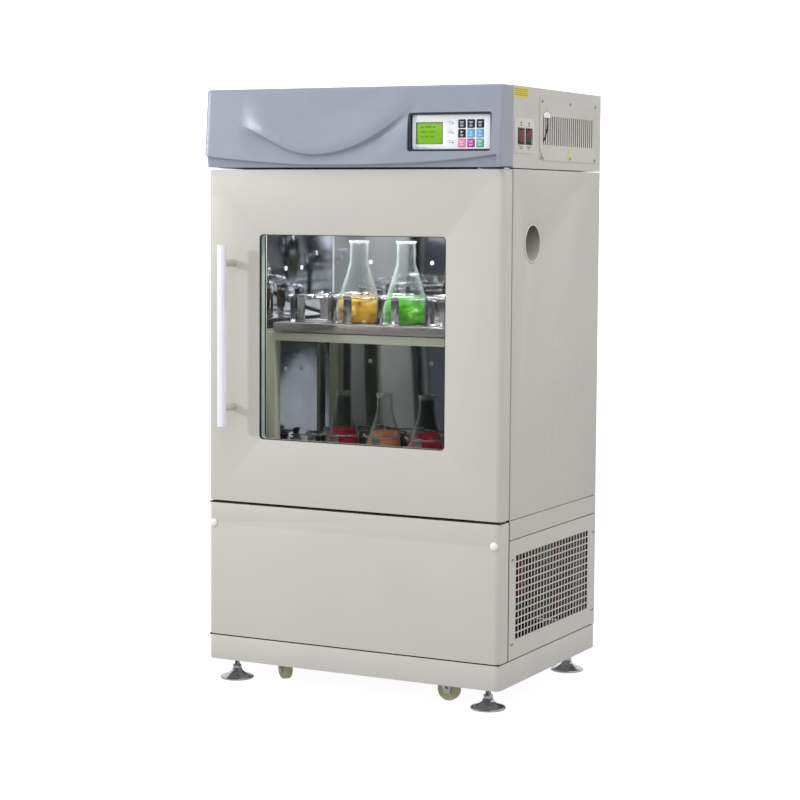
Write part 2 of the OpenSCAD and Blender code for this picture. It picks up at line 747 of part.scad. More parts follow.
// Downturned sheet tray, x1 half width, z top face, on four pads
module tray(x1, z) {
    difference() {
        post(-x1, x1, tray_b0, tray_b1, z - tray_flange, z, 6, 6);
        post(-x1 + tray_t, x1 - tray_t, tray_b0 + tray_t, tray_b1 - tray_t,
            z - tray_flange - 1, z - tray_t, 3, 3);
    }
    for (x = [-x1 + 20, x1 - 40], b = [frame_b0 + 3, frame_b1 - 22])
        block(x, x + 20, b, b + 18, z - tray_flange - pad_h, z - tray_t + 0.1);
}
module upper_tray() { color([0.62, 0.61, 0.59]) tray(upper_tray_x, upper_tray_z); }
module lower_tray() { color([0.62, 0.61, 0.59]) tray(lower_tray_x, lower_tray_z); }

// Four-prong spring clamp with a base cross and a ring; r inner radius, z tray's top, h ring height
module clamp(p, r, z, h) {
    translate([p[0], yb(p[1]), z]) {
        difference() {
            cylinder(h = 1.6, r = r + 2.5);
            translate([0, 0, -1]) cylinder(h = 4, r = r - 16);
        }
        for (a = [0:90:270]) rotate(a) translate([r + 0.6, -7, 0]) cube([1.6, 14, h + 8]);
        translate([0, 0, h]) difference() {
            cylinder(h = 5, r = r + 5);
            translate([0, 0, -1]) cylinder(h = 7, r = r + 2.1);
        }
    }
}
module flask_clamps() {
    color([0.78, 0.79, 0.80]) {
        for (p = big_places) clamp(p, big_r, upper_tray_z, big_ring);
        for (p = small_places) clamp(p, small_r, lower_tray_z, small_ring);
        for (p = mini_places) clamp(p, mini_r, lower_tray_z, mini_ring);
    }
}

// Conical flask with a cylindrical neck and a beaded rim, as one closed solid; ring is the
// height at which the clamp's ring surrounds it
module flask(p, r, neck, h, ring, z) {
    translate([p[0], yb(p[1]), z]) rotate_extrude($fn = 40) polygon([
        [0, 1.8], [r - 11, 1.8], [r - 4, 5], [r - 0.8, 14], [r, h * 0.16], [r - 1.6, h * 0.22],
        [r * 0.86, ring], [neck + 2, h * 0.71], [neck, h * 0.77],
        [neck, h - 5], [neck + 3, h - 3], [neck + 3, h], [0, h]]);
}
module flasks() {
    color([0.85, 0.95, 0.92, 0.35]) {
        for (p = big_loaded) flask(p, big_r, big_neck, big_h, big_ring, upper_tray_z);
        for (p = small_loaded) flask(p, small_r, small_neck, small_h, small_ring, lower_tray_z);
    }
}

// ---------- refrigeration and air ----------

module compressor() {
    color([0.10, 0.10, 0.11]) {
        rod_z(200, 360, 116, 250, 72);
        translate([200, yb(360), 250]) rotate_extrude()
            polygon([[0, 0], [72, 0], [66, 18], [45, 32], [0, 36]]);
        block(118, 282, 290, 430, plinth_z1, 110);
        for (x = [130, 270], b = [302, 418]) rod_z(x, b, 109, 120, 9);
        block(130, 270, 295, 425, 116, 119);
    }
}

// Finned coil on the left, with its fan shroud
module condenser() {
    color([0.72, 0.45, 0.30]) {
        difference() {
            block(-304, -262, 170, 410, plinth_z1, 310);
            for (i = [0:22]) block(-305, -261, 176 + 10 * i, 182 + 10 * i, 116, 302);
        }
        for (k = [0:5]) rod_y(-283, 165, 415, 132 + 31 * k, 5);
        difference() {
            block(-258, -254, 170, 410, plinth_z1, 330);
            rod_x(-260, -252, 290, fan_z, 94);
        }
        for (b = [172, 404]) block(-262.5, -257, b, b + 4, plinth_z1, 310);
        block(-256, -252, 286, 294, plinth_z1, 310);
        difference() {
            rod_x(-254, -226, 290, fan_z, 30);
            rod_x(-232, -220, 290, fan_z, 4 + run_gap);
        }
    }
}

module fan_blades(n, r0, r1, h) {
    cylinder(h = h, r = r0);
    for (a = [0:360 / n:359]) rotate(a) translate([r0 - 2, -1.2, 1])
        rotate([28, 0, 0]) cube([r1 - r0, 2.4, h * 1.3]);
}

module condenser_fan() {
    color([0.15, 0.15, 0.16]) translate([-208, yb(290), fan_z]) rotate([0, 90, 0]) {
        fan_blades(5, 22, 88, 16);
        translate([0, 0, -22]) cylinder(h = 23, r = 4);
    }
}

module circulation_fan() {
    color([0.70, 0.71, 0.73]) {
        translate([0, yb(fan_b), 1056]) fan_blades(6, 24, 96, 16);
        rod_z(0, fan_b, 1066, 1230, 5);
        rod_z(0, fan_b, 1190, 1228, 26);
    }
}

// ---------- running gear ----------

// Places a front caster, drawn with its stem at the origin and its wheel towards -Y
module at_stem(x, turn) {
    translate([x, yb(stem_b), 0]) rotate(turn) children();
}

// Swivel fork of a front caster; the wheel trails beside the stem
module caster_fork(x, turn) {
    color([0.75, 0.76, 0.78]) at_stem(x, turn) {
        translate([0, 0, 62]) cylinder(h = 18, r = 5.8);
        translate([0, 0, 62]) cylinder(h = 9.5, r = 18);
        for (s = [-1, 1]) translate([s * (wheel_w / 2 + 2) - 1.25, 0, 0]) rotate([90, 0, 90])
            linear_extrude(2.5) polygon([
                [14, 62.5], [-16, 62.5], [-caster_trail - 9, 34],
                [-caster_trail - 7, 19], [-caster_trail + 7, 19], [-caster_trail + 10, 32]]);
        translate([-wheel_w / 2 - 2, -15, 60]) cube([wheel_w + 4, 28, 3]);
        translate([-wheel_w / 2 - 5, -caster_trail, wheel_z]) rotate([0, 90, 0])
            cylinder(h = wheel_w + 10, r = 4);
    }
}
module caster_fork_left() { caster_fork(-stem_x, turn_left); }
module caster_fork_right() { caster_fork(stem_x, turn_right); }

// Wheel about the X axis through the origin
module wheel() {
    color([0.80, 0.77, 0.66]) translate([-wheel_w / 2, 0, 0]) rotate([0, 90, 0])
        rotate_extrude() polygon([
            [4 + run_gap, 0], [11, 0], [11, 2], [wheel_r - 5, 2], [wheel_r - 3, 0.5], [wheel_r, 3.5],
            [wheel_r, wheel_w - 3.5], [wheel_r - 3, wheel_w - 0.5], [wheel_r - 5, wheel_w - 2],
            [11, wheel_w - 2], [11, wheel_w], [4 + run_gap, wheel_w]]);
}
module front_wheel(x, turn) { at_stem(x, turn) translate([0, -caster_trail, wheel_z]) wheel(); }
module rear_wheel(x) { translate([x, yb(caster_b), wheel_z]) wheel(); }
module caster_wheel_front_left() { front_wheel(-stem_x, turn_left); }
module caster_wheel_front_right() { front_wheel(stem_x, turn_right); }
module caster_wheel_rear_left() { rear_wheel(-caster_x); }
module caster_wheel_rear_right() { rear_wheel(caster_x); }

// Levelling foot: pressed disc, hexagon and rod
module foot(x, b) {
    color([0.75, 0.76, 0.78]) translate([x, yb(b), 0]) {
        rotate_extrude() polygon([
            [0, 0], [foot_r, 0], [foot_r, 4], [foot_r - 3, 6], [14, 17], [10, 22], [0, 22]]);
        translate([0, 0, 21]) cylinder(h = 10, r = 10, $fn = 6);
        cylinder(h = 90, r = 6);
    }
}
module foot_front_left() { foot(-foot_x, foot_b0); }
module foot_front_right() { foot(foot_x, foot_b0); }
module foot_rear_left() { foot(-foot_x, foot_b1); }
module foot_rear_right() { foot(foot_x, foot_b1); }

base_frame();
machine_bay_frame();
lower_front_cover();
side_grille_panels();
panel_fasteners();
cabinet_shell();
insulation();
chamber_liner();
top_housing();
header_fascia();
control_bezel();
control_plate();
lcd_display();
key_mode();
key_set();
key_shift();
key_right();
key_up();
key_down();
key_light();
key_stop();
key_start();
switch_plate();
rocker_power();
rocker_lamp();
header_vent_panel();
port_tube();
port_plug();
door_shell();
door_inner_panel();
door_glass();
door_seals();
door_handle();
hinge_brackets();
drive_bed();
main_crank();
drive_belt();
drive_motor();
motor_pulley();
idler_crank_left();
idler_crank_right();
shaking_frame();
upper_tray();
lower_tray();
flask_clamps();
flasks();
compressor();
condenser();
condenser_fan();
circulation_fan();
caster_fork_left();
caster_fork_right();
caster_wheel_front_left();
caster_wheel_front_right();
caster_wheel_rear_left();
caster_wheel_rear_right();
foot_front_left();
foot_front_right();
foot_rear_left();
foot_rear_right();
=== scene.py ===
"""Looks of a floor-standing incubated orbital shaker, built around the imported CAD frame.

Lengths written as plain numbers are millimetres, and MM turns them into the frame's metres.
x is measured from the middle, b backwards from the door's front face, z from the floor.
"""
import json
from math import cos, exp, pi, radians, sin, sqrt

import bmesh
import bpy
from mathutils import Matrix, Vector

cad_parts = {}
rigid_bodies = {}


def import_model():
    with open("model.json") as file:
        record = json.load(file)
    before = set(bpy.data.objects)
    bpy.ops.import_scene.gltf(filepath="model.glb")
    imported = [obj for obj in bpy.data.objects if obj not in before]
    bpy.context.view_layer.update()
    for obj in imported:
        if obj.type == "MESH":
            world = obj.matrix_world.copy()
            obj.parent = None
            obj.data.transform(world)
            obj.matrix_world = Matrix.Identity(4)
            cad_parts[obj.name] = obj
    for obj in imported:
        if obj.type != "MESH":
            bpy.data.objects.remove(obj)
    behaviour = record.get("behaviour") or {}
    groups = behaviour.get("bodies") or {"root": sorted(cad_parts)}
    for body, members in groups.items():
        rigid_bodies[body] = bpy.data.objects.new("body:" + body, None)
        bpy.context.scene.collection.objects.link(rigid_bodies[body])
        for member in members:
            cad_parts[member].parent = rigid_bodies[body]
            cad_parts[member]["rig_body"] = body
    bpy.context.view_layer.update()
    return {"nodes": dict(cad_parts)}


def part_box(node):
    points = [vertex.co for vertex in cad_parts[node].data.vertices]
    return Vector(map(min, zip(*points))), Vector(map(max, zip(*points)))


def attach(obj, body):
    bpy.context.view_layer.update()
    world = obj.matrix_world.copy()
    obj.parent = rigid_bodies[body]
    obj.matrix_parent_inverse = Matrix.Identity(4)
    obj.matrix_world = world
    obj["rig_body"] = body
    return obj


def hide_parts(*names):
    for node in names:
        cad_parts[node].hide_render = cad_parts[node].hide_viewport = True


MM = 0.001
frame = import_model()


def box_mm(node):
    """Lowest and highest corner of a CAD node in millimetres."""
    lo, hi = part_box(node)
    return lo / MM, hi / MM


DOOR_FRONT = box_mm("door_shell")[0].y
HALF_W = box_mm("top_housing")[1].x
PORT_LOW, PORT_HIGH = (corner.z * MM for corner in box_mm("port_tube"))


def yb(b):
    """The frame's y, in millimetres, of a place b behind the door's front face."""
    return DOOR_FRONT + b


# ---------- materials ----------

def rgb(r, g, b):
    """Linear colour of an sRGB triple from 0 to 255."""
    def linear(v):
        v /= 255
        return v / 12.92 if v <= 0.04045 else ((v + 0.055) / 1.055) ** 2.4
    return (linear(r), linear(g), linear(b), 1)


def shade(color, k):
    return tuple(min(c * k, 1) for c in color[:3]) + (1,)


class Nodes:
    """A new node material with its Principled shader and object-space coordinates."""

    def __init__(self, name, metal=0.0, **sockets):
        self.mat = bpy.data.materials.new(name)
        self.mat.use_nodes = True
        self.tree = self.mat.node_tree
        self.shader = self.tree.nodes["Principled BSDF"]
        self.shader.inputs["Metallic"].default_value = metal
        for socket, value in sockets.items():
            self.shader.inputs[socket.replace("_", " ")].default_value = value
        self.coord = self.tree.nodes.new("ShaderNodeTexCoord").outputs["Object"]

    def link(self, out, target):
        self.tree.links.new(out, target)

    def noise(self, scale, detail=3.0, stretch=(1, 1, 1)):
        """Noise with features of about 1 / scale metres, stretched along an axis by less than 1."""
        mapping = self.tree.nodes.new("ShaderNodeMapping")
        mapping.inputs["Scale"].default_value = stretch
        self.link(self.coord, mapping.inputs["Vector"])
        node = self.tree.nodes.new("ShaderNodeTexNoise")
        node.inputs["Scale"].default_value = scale
        node.inputs["Detail"].default_value = detail
        self.link(mapping.outputs["Vector"], node.inputs["Vector"])
        return node.outputs["Fac"]

    def spread(self, value, low, high):
        """Maps a noise value from its usual range to low and high."""
        node = self.tree.nodes.new("ShaderNodeMapRange")
        node.inputs["From Min"].default_value = 0.3
        node.inputs["From Max"].default_value = 0.7
        node.inputs["To Min"].default_value = low
        node.inputs["To Max"].default_value = high
        self.link(value, node.inputs["Value"])
        return node.outputs["Result"]

    def ramp(self, value, stops):
        node = self.tree.nodes.new("ShaderNodeValToRGB")
        bar = node.color_ramp
        bar.elements[0].position, bar.elements[0].color = stops[0]
        bar.elements[1].position, bar.elements[1].color = stops[-1]
        for place, color in stops[1:-1]:
            bar.elements.new(place).color = color
        self.link(value, node.inputs["Fac"])
        return node.outputs["Color"]

    def tint(self, value, color, depth):
        """Base colour that varies by depth around color."""
        out = self.ramp(value, [(0.3, shade(color, 1 - depth)), (0.7, shade(color, 1 + depth))])
        self.link(out, self.shader.inputs["Base Color"])

    def rough(self, value, low, high):
        self.link(self.spread(value, low, high), self.shader.inputs["Roughness"])

    def bump(self, value, depth, strength=1.0):
        node = self.tree.nodes.new("ShaderNodeBump")
        node.inputs["Distance"].default_value = depth * MM
        node.inputs["Strength"].default_value = strength
        self.link(value, node.inputs["Height"])
        self.link(node.outputs["Normal"], self.shader.inputs["Normal"])


def painted(name, color, low=0.36, high=0.46, peel=0.05):
    """Powder coat: slow colour drift, fine orange peel and uneven gloss."""
    n = Nodes(name, Specular_IOR_Level=0.4)
    n.tint(n.noise(7, 2), color, 0.015)
    n.rough(n.noise(60), low, high)
    n.bump(n.noise(650, 2), peel, 0.5)
    return n.mat


def plastic(name, color, low=0.28, high=0.38, grain=0.02, scale=1400):
    """Moulded plastic: fine spark-eroded grain."""
    n = Nodes(name, Specular_IOR_Level=0.5)
    n.tint(n.noise(25, 2), color, 0.02)
    n.rough(n.noise(120), low, high)
    n.bump(n.noise(scale, 1), grain, 0.5)
    return n.mat


def steel(name, color, low, high, stretch=(1, 1, 1), scratch=0.01, scale=900, wave=0.0):
    """Bare metal: brush lines along the stretched axis, or slow waves in a polished sheet."""
    n = Nodes(name, metal=1.0)
    lines = n.noise(scale, 4, stretch)
    n.tint(n.noise(14, 3, stretch), color, 0.05)
    n.rough(lines, low, high)
    if wave:
        n.bump(n.noise(2.5, 1), wave, 1.0)
    else:
        n.bump(lines, scratch, 0.6)
    return n.mat


def clear_glass(name, color, thin, edge, power=2.6, rough=0.02):
    """Thin glass: nearly clear face on, brighter and denser where the wall turns edge on."""
    n = Nodes(name, Roughness=rough, Specular_IOR_Level=0.8)
    n.tint(n.noise(40, 2), color, 0.03)
    facing = n.tree.nodes.new("ShaderNodeLayerWeight")
    facing.inputs["Blend"].default_value = 0.5
    curve = n.tree.nodes.new("ShaderNodeMath")
    curve.operation = "POWER"
    curve.inputs[1].default_value = power
    n.link(facing.outputs["Facing"], curve.inputs[0])
    reach = n.tree.nodes.new("ShaderNodeMapRange")
    reach.inputs["To Min"].default_value = thin
    reach.inputs["To Max"].default_value = edge
    n.link(curve.outputs["Value"], reach.inputs["Value"])
    n.link(reach.outputs["Result"], n.shader.inputs["Alpha"])
    return n.mat


def port_bore(name, dark, light, low, high):
    """Bore of a side port with painted shade: dark at the top, where the bore lies in its own
    shadow, light at the bottom, where light reaches in.
    """
    n = Nodes(name, Roughness=0.5, Specular_IOR_Level=0.3)
    split = n.tree.nodes.new("ShaderNodeSeparateXYZ")
    n.link(n.coord, split.inputs["Vector"])
    height = n.tree.nodes.new("ShaderNodeMapRange")
    height.inputs["From Min"].default_value = low
    height.inputs["From Max"].default_value = high
    n.link(split.outputs["Z"], height.inputs["Value"])
    out = n.ramp(height.outputs["Result"], [(0.0, light), (0.45, shade(light, 0.62)), (1.0, dark)])
    n.link(out, n.shader.inputs["Base Color"])
    n.bump(n.noise(900, 1), 0.02, 0.5)
    return n.mat


def liquid(name, deep, color, bright, glow=0.2, scale=38):
    """Coloured liquid spread by noise between darker patches of painted shade and brighter patches
    of painted light, with a small glow that is a painted stand-in for light passing through it.
    """
    n = Nodes(name, Roughness=0.06, Specular_IOR_Level=0.5, Emission_Strength=glow)
    drift = n.noise(scale, 3, (1, 1, 1.7))
    mix = n.ramp(drift, [(0.25, deep), (0.45, color), (0.55, color), (0.75, bright)])
    n.link(mix, n.shader.inputs["Base Color"])
    n.link(mix, n.shader.inputs["Emission Color"])
    n.rough(drift, 0.03, 0.1)
    return n.mat


M = {
    "body": painted("body_powder_coat", rgb(196, 193, 187)),
    "bay": painted("bay_powder_coat", rgb(192, 189, 183)),
    "fascia": plastic("fascia_plastic", rgb(146, 151, 166), 0.3, 0.38, 0.015),
    "navy": plastic("navy_plastic", rgb(46, 54, 72), 0.25, 0.35),
    "overlay": plastic("white_overlay", rgb(238, 240, 246), 0.3, 0.36, 0.006),
    "lcd": plastic("lcd_window", rgb(132, 190, 40), 0.12, 0.18, 0.002),
    "ink": plastic("dark_ink", rgb(40, 42, 52), 0.5, 0.6, 0.002),
    "pale_ink": plastic("grey_ink", rgb(150, 152, 160), 0.5, 0.6, 0.002),
    "lcd_ink": plastic("lcd_segments", rgb(100, 156, 34), 0.2, 0.3, 0.002),
    "frame_grey": plastic("display_edge", rgb(96, 112, 84), 0.4, 0.5, 0.002),
    "white_ink": plastic("white_ink", rgb(214, 216, 224), 0.45, 0.55, 0.002),
    "key_black": plastic("key_black", rgb(26, 30, 42)),
    "key_blue": plastic("key_blue", rgb(96, 176, 226)),
    "key_pink": plastic("key_pink", rgb(242, 136, 172)),
    "key_magenta": plastic("key_magenta", rgb(196, 46, 154)),
    "key_green": plastic("key_green", rgb(92, 182, 156)),
    "switch_white": plastic("switch_white", rgb(203, 200, 195)),
    "black": plastic("black_plastic", rgb(24, 24, 26), 0.3, 0.42),
    "red": plastic("red_rocker", rgb(96, 2, 14), 0.45, 0.55, 0.003),
    "green": plastic("green_rocker", rgb(4, 40, 26), 0.45, 0.55, 0.003),
    "yellow": plastic("yellow_sticker", rgb(216, 202, 40), 0.4, 0.5, 0.004),
    "foam": painted("foam", rgb(238, 226, 190), 0.8, 0.95, 0.4),
    "mirror": steel("mirror_steel", rgb(206, 210, 214), 0.03, 0.08, wave=0.6),
    "satin": steel("satin_steel", rgb(168, 163, 160), 0.26, 0.42, (0.05, 1, 1)),
    "spring": steel("spring_steel", rgb(176, 176, 178), 0.14, 0.28, (1, 1, 0.08)),
    "rack": painted("rack_paint", rgb(176, 180, 158), 0.3, 0.42, 0.04),
    "port": plastic("port_plastic", rgb(214, 208, 194), 0.34, 0.44),
    "port_bore": port_bore("port_bore_painted_shade", rgb(70, 64, 58), rgb(206, 202, 194),
                           PORT_LOW, PORT_HIGH),
    "liner": plastic("door_liner_plastic", rgb(202, 202, 199), 0.36, 0.46),
    "hole_wall": painted("hole_walls_in_shade", rgb(62, 60, 58), 0.6, 0.7),
    "gap": plastic("seam_shadow_strip", rgb(22, 20, 20), 0.7, 0.8, 0.02),
    "rubber": plastic("black_rubber", rgb(26, 26, 28), 0.5, 0.7, 0.05, 900),
    "handle": plastic("white_handle", rgb(236, 237, 244), 0.2, 0.28, 0.006),
    "zinc": steel("bright_zinc", rgb(190, 194, 200), 0.1, 0.24, scratch=0.02, scale=500),
    "machined": steel("machined_steel", rgb(160, 164, 170), 0.22, 0.36, (1, 1, 0.1)),
    "bed": painted("drive_bed_primer", rgb(92, 98, 106), 0.5, 0.62),
    "motor": painted("motor_enamel", rgb(52, 55, 60), 0.35, 0.5),
    "enamel": painted("compressor_enamel", rgb(26, 26, 28), 0.2, 0.3),
    "copper": steel("copper_pipe", rgb(150, 84, 60), 0.25, 0.4, scratch=0.01),
    "fins": steel("coil_fins", rgb(92, 84, 80), 0.35, 0.5),
    "fan_metal": steel("pressed_aluminium", rgb(186, 188, 192), 0.28, 0.4),
    "nylon": plastic("ivory_nylon", rgb(170, 164, 134), 0.3, 0.45, 0.03),
    "cap_white": plastic("white_cap", rgb(240, 240, 238), 0.2, 0.3, 0.004),
    "pane": clear_glass("window_glass", rgb(22, 30, 28), 0.02, 0.3, 4.0, 0.01),
    "flask": clear_glass("flask_glass", rgb(176, 192, 188), 0.02, 0.98, 2.7, 0.02),
    "rim": clear_glass("flask_rim_glass", rgb(206, 220, 216), 0.1, 0.9, 1.8, 0.03),
    "reveal": clear_glass("reveal_glass", rgb(190, 205, 195), 0.82, 0.95, 1.0, 0.03),
    # liquids: painted light and shade in noise patches, and a painted glow
    "yellow_liquid": liquid("yellow_liquid", rgb(104, 72, 12), rgb(182, 140, 36),
                            rgb(240, 220, 120)),
    "green_liquid": liquid("green_liquid", rgb(26, 92, 12), rgb(72, 166, 30), rgb(160, 236, 96)),
    "red_liquid": liquid("red_liquid", rgb(84, 8, 20), rgb(146, 18, 40), rgb(186, 44, 66)),
    "orange_liquid": liquid("orange_liquid", rgb(150, 84, 44), rgb(188, 118, 76),
                            rgb(206, 146, 104)),
    "stud": plastic("polished_stud", rgb(236, 238, 240), 0.1, 0.2, 0.002),
    "sealant": plastic("grey_sealant", rgb(196, 202, 200), 0.3, 0.4, 0.01),
    "stripe": plastic("label_print", rgb(150, 134, 30), 0.5, 0.6, 0.002),
}


# ---------- mesh helpers ----------

def add_object(name, mesh):
    obj = bpy.data.objects.new(name, mesh)
    bpy.context.scene.collection.objects.link(obj)
    return obj


def from_bmesh(name, bm):
    bmesh.ops.recalc_face_normals(bm, faces=bm.faces)
    mesh = bpy.data.meshes.new(name)
    bm.to_mesh(mesh)
    bm.free()
    return add_object(name, mesh)


def solid(name, points, faces):
    """Object from points in millimetres and faces."""
    bm = bmesh.new()
    verts = [bm.verts.new(Vector(p) * MM) for p in points]
    for face in faces:
        bm.faces.new([verts[i] for i in face])
    return from_bmesh(name, bm)


def apply_modifiers(obj):
    graph = bpy.context.evaluated_depsgraph_get()
    graph.update()
    mesh = bpy.data.meshes.new_from_object(obj.evaluated_get(graph))
    obj.modifiers.clear()
    obj.data = mesh


def soften(obj, width, segments=2, angle=35):
    """Rounds every edge sharper than angle, in place."""
    bevel = obj.modifiers.new("soften", "BEVEL")
    bevel.width = width * MM
    bevel.segments = segments
    bevel.limit_method = "ANGLE"
    bevel.angle_limit = radians(angle)
    bevel.use_clamp_overlap = True
    apply_modifiers(obj)
    return obj


def cut(obj, *tools):
    for tool in tools:
        boolean = obj.modifiers.new("cut", "BOOLEAN")
        boolean.operation = "DIFFERENCE"
        boolean.solver = "EXACT"
        boolean.object = tool
    apply_modifiers(obj)
    for tool in tools:
        bpy.data.objects.remove(tool)
    return obj


def dress(obj, body, node, *materials, smooth=35):
    """Gives a finished piece its material, smoothing and body; the node argument is not used."""
    obj.data.materials.clear()
    for mat in materials:
        obj.data.materials.append(M[mat])
    obj.data.shade_smooth()
    obj.data.set_sharp_from_angle(angle=radians(smooth))
    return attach(obj, body)


def refined(node, width, *materials, segments=2, angle=35):
    """A copy of a CAD node with merged faces and rounded edges, which stands for it."""
    source = frame["nodes"][node]
    bm = bmesh.new()
    bm.from_mesh(source.data)
    bmesh.ops.remove_doubles(bm, verts=bm.verts, dist=0.01 * MM)
    bmesh.ops.dissolve_limit(bm, angle_limit=radians(0.6), verts=bm.verts, edges=bm.edges)
    obj = from_bmesh(node + "_piece", bm)
    if width:
        soften(obj, width, segments, angle)
    dress(obj, source["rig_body"], node, *materials)
    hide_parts(node)
    return obj


def second_material(obj, test):
    """Gives the second material to the faces that pass a test of the face and its centre in mm."""
    for face in obj.data.polygons:
        if test(face, face.center / MM):
            face.material_index = 1


def joined(name, parts):
    """One object from several closed ones."""
    bm = bmesh.new()
    for part in parts:
        bm.from_mesh(part.data)
    for part in parts:
        bpy.data.objects.remove(part)
    mesh = bpy.data.meshes.new(name)
    bm.to_mesh(mesh)
    bm.free()
    return add_object(name, mesh)


def along(axis, u, v, h):
    """Point with h along the axis and u, v across it."""
    return {"X": (h, u, v), "Y": (u, h, v), "Z": (u, v, h)}[axis]


def lathe(name, profile, centre, axis="Z", steps=48):
    """Solid of revolution from (radius, height) pairs; one that stays off the axis is a ring."""
    points, rings = [], []
    for r, h in profile:
        count = 1 if r < 1e-6 else steps
        rings.append([len(points) + k for k in range(count)])
        for k in range(count):
            a = 2 * pi * k / steps
            p = along(axis, r * cos(a), r * sin(a), h)
            points.append([p[i] + centre[i] for i in range(3)])
    pairs = list(zip(rings, rings[1:]))
    if len(rings[0]) > 1 and len(rings[-1]) > 1:
        pairs.append((rings[-1], rings[0]))
    faces = []
    for one, two in pairs:
        for k in range(steps):
            j = (k + 1) % steps
            if len(one) == 1 and len(two) > 1:
                faces.append((one[0], two[k], two[j]))
            elif len(two) == 1 and len(one) > 1:
                faces.append((one[k], one[j], two[0]))
            elif len(one) > 1:
                faces.append((one[k], one[j], two[j], two[k]))
    return solid(name, points, faces)


def slab(name, outline, axis, near, far):
    """Prism of a flat outline, from near to far along the axis."""
    n = len(outline)
    points = [along(axis, u, v, h) for h in (near, far) for u, v in outline]
    sides = [(i, (i + 1) % n, n + (i + 1) % n, n + i) for i in range(n)]
    return solid(name, points, [tuple(range(n))] + [tuple(range(n, 2 * n))] + sides)


def rounded(u0, u1, v0, v1, r, steps=5):
    """Rectangle outline with rounded corners."""
    corners = ((u1 - r, v1 - r, 0), (u0 + r, v1 - r, 90),
               (u0 + r, v0 + r, 180), (u1 - r, v0 + r, 270))
    return [(cu + r * cos(radians(a + 90 * k / steps)),
             cv + r * sin(radians(a + 90 * k / steps)))
            for cu, cv, a in corners for k in range(steps + 1)]


def rectangle(u0, u1, v0, v1):
    return [(u0, v0), (u1, v0), (u1, v1), (u0, v1)]


def block(name, x0, x1, b0, b1, z0, z1, round_edge=0.0):
    obj = slab(name, rectangle(x0, x1, yb(b0), yb(b1)), "Z", z0, z1)
    return soften(obj, round_edge) if round_edge else obj


def tube(name, path, radius, sides=10, closed=False):
    """Round bar along a path of points, with flat ends or closed on itself."""
    path = [Vector(p) for p in path]
    count = len(path)
    normal = None
    points = []
    for i, p in enumerate(path):
        after = path[(i + 1) % count] if closed else path[min(i + 1, count - 1)]
        before = path[i - 1] if closed or i else path[0]
        run = (after - before).normalized()
        if normal is None:
            normal = run.orthogonal().normalized()
        normal = (normal - run * normal.dot(run)).normalized()
        side = run.cross(normal)
        points += [p + radius * (cos(2 * pi * k / sides) * normal
                                 + sin(2 * pi * k / sides) * side) for k in range(sides)]
    faces = []
    for i in range(count if closed else count - 1):
        j = (i + 1) % count
        faces += [(i * sides + k, i * sides + (k + 1) % sides,
                   j * sides + (k + 1) % sides, j * sides + k) for k in range(sides)]
    if not closed:
        faces += [tuple(range(sides)), tuple((count - 1) * sides + k for k in range(sides))]
    return solid(name, points, faces)


def smooth_path(knots, steps=8):
    """Catmull-Rom curve through the knots."""
    pts = [Vector(k) for k in knots]
    pts = [2 * pts[0] - pts[1]] + pts + [2 * pts[-1] - pts[-2]]
    out = []
    for i in range(1, len(pts) - 2):
        a, b, c, d = pts[i - 1:i + 3]
        for k in range(steps):
            t = k / steps
            out.append(0.5 * (2 * b + (c - a) * t + (2 * a - 5 * b + 4 * c - d) * t ** 2
                              + (3 * b - a - 3 * c + d) * t ** 3))
    return out + [pts[-2]]


def ease(t):
    """Smooth step from 0 to 1."""
    t = max(0.0, min(1.0, t))
    return t * t * (3 - 2 * t)


# ---------- header ----------

LIP_B = -16            # the lip stands this far in front of the door
LEAN = 12              # and the front leans back by this much from the lip to the top
LIP_LOW, LIP_LOW_X = 6, -70         # least height of the lip, and where it is
LIP_RIGHT, LIP_LEFT = 22.2, 19.4    # how much higher it is at both ends
WAVE_X, WAVE_Z = -82, 1181          # lowest point of the wave
WAVE_RIGHT, WAVE_LEFT = 0.0019, 0.0026
WAVE_KNEE = 90         # the left arm goes on straight from here
WAVE_RISE = 6.5        # the surface over the wave stands this proud of the flat ends
WAVE_HOLLOW = 12.0     # and the hollow under the wave goes this deep


def lip_height(x, half_w):
    """Height of the lip along the fascia's lower edge."""
    if x > LIP_LOW_X:
        return LIP_LOW + LIP_RIGHT * ((x - LIP_LOW_X) / (half_w - LIP_LOW_X)) ** 2.8
    return LIP_LOW + LIP_LEFT * ((LIP_LOW_X - x) / (half_w + LIP_LOW_X)) ** 1.6


def wave_height(x):
    """Height of the wave's crease."""
    run = abs(x - WAVE_X)
    if x > WAVE_X:
        return WAVE_Z + WAVE_RIGHT * run ** 2
    if run < WAVE_KNEE:
        return WAVE_Z + WAVE_LEFT * run ** 2
    return WAVE_Z + WAVE_LEFT * WAVE_KNEE * (2 * run - WAVE_KNEE)


def wave_amount(x):
    """1 along the wave, fading to 0 at both of its ends."""
    return ease((x + 272) / 66) * ease((170 - x) / 110)


def fascia_point_b(x, z, z0, z1, lip, crease, end_zone):
    """Depth of the fascia's front surface at a point."""
    edge = z0 + lip
    if z < edge:
        under = edge - z
        return LIP_B + (9.5 * min(1, under / 4.5) ** 0.8 + 3 * under / lip) * end_zone
    lean = LIP_B + LEAN * (z - edge) / (z1 - edge)
    if z >= crease:
        over = z - crease
        rise = 1 - ease(over / 95) - 0.4 * max(0, 1 - over / 26) ** 2
    else:
        t = (crease - z) / (crease - edge)
        reach = min(0.45, 13 / (crease - edge))
        hollow = t / reach * exp(1 - t / reach) * (1 - t) ** 0.7
        rise = 0.6 * (1 - t) ** 2 - WAVE_HOLLOW / WAVE_RISE * hollow
    return lean - WAVE_RISE * wave_amount(x) * rise


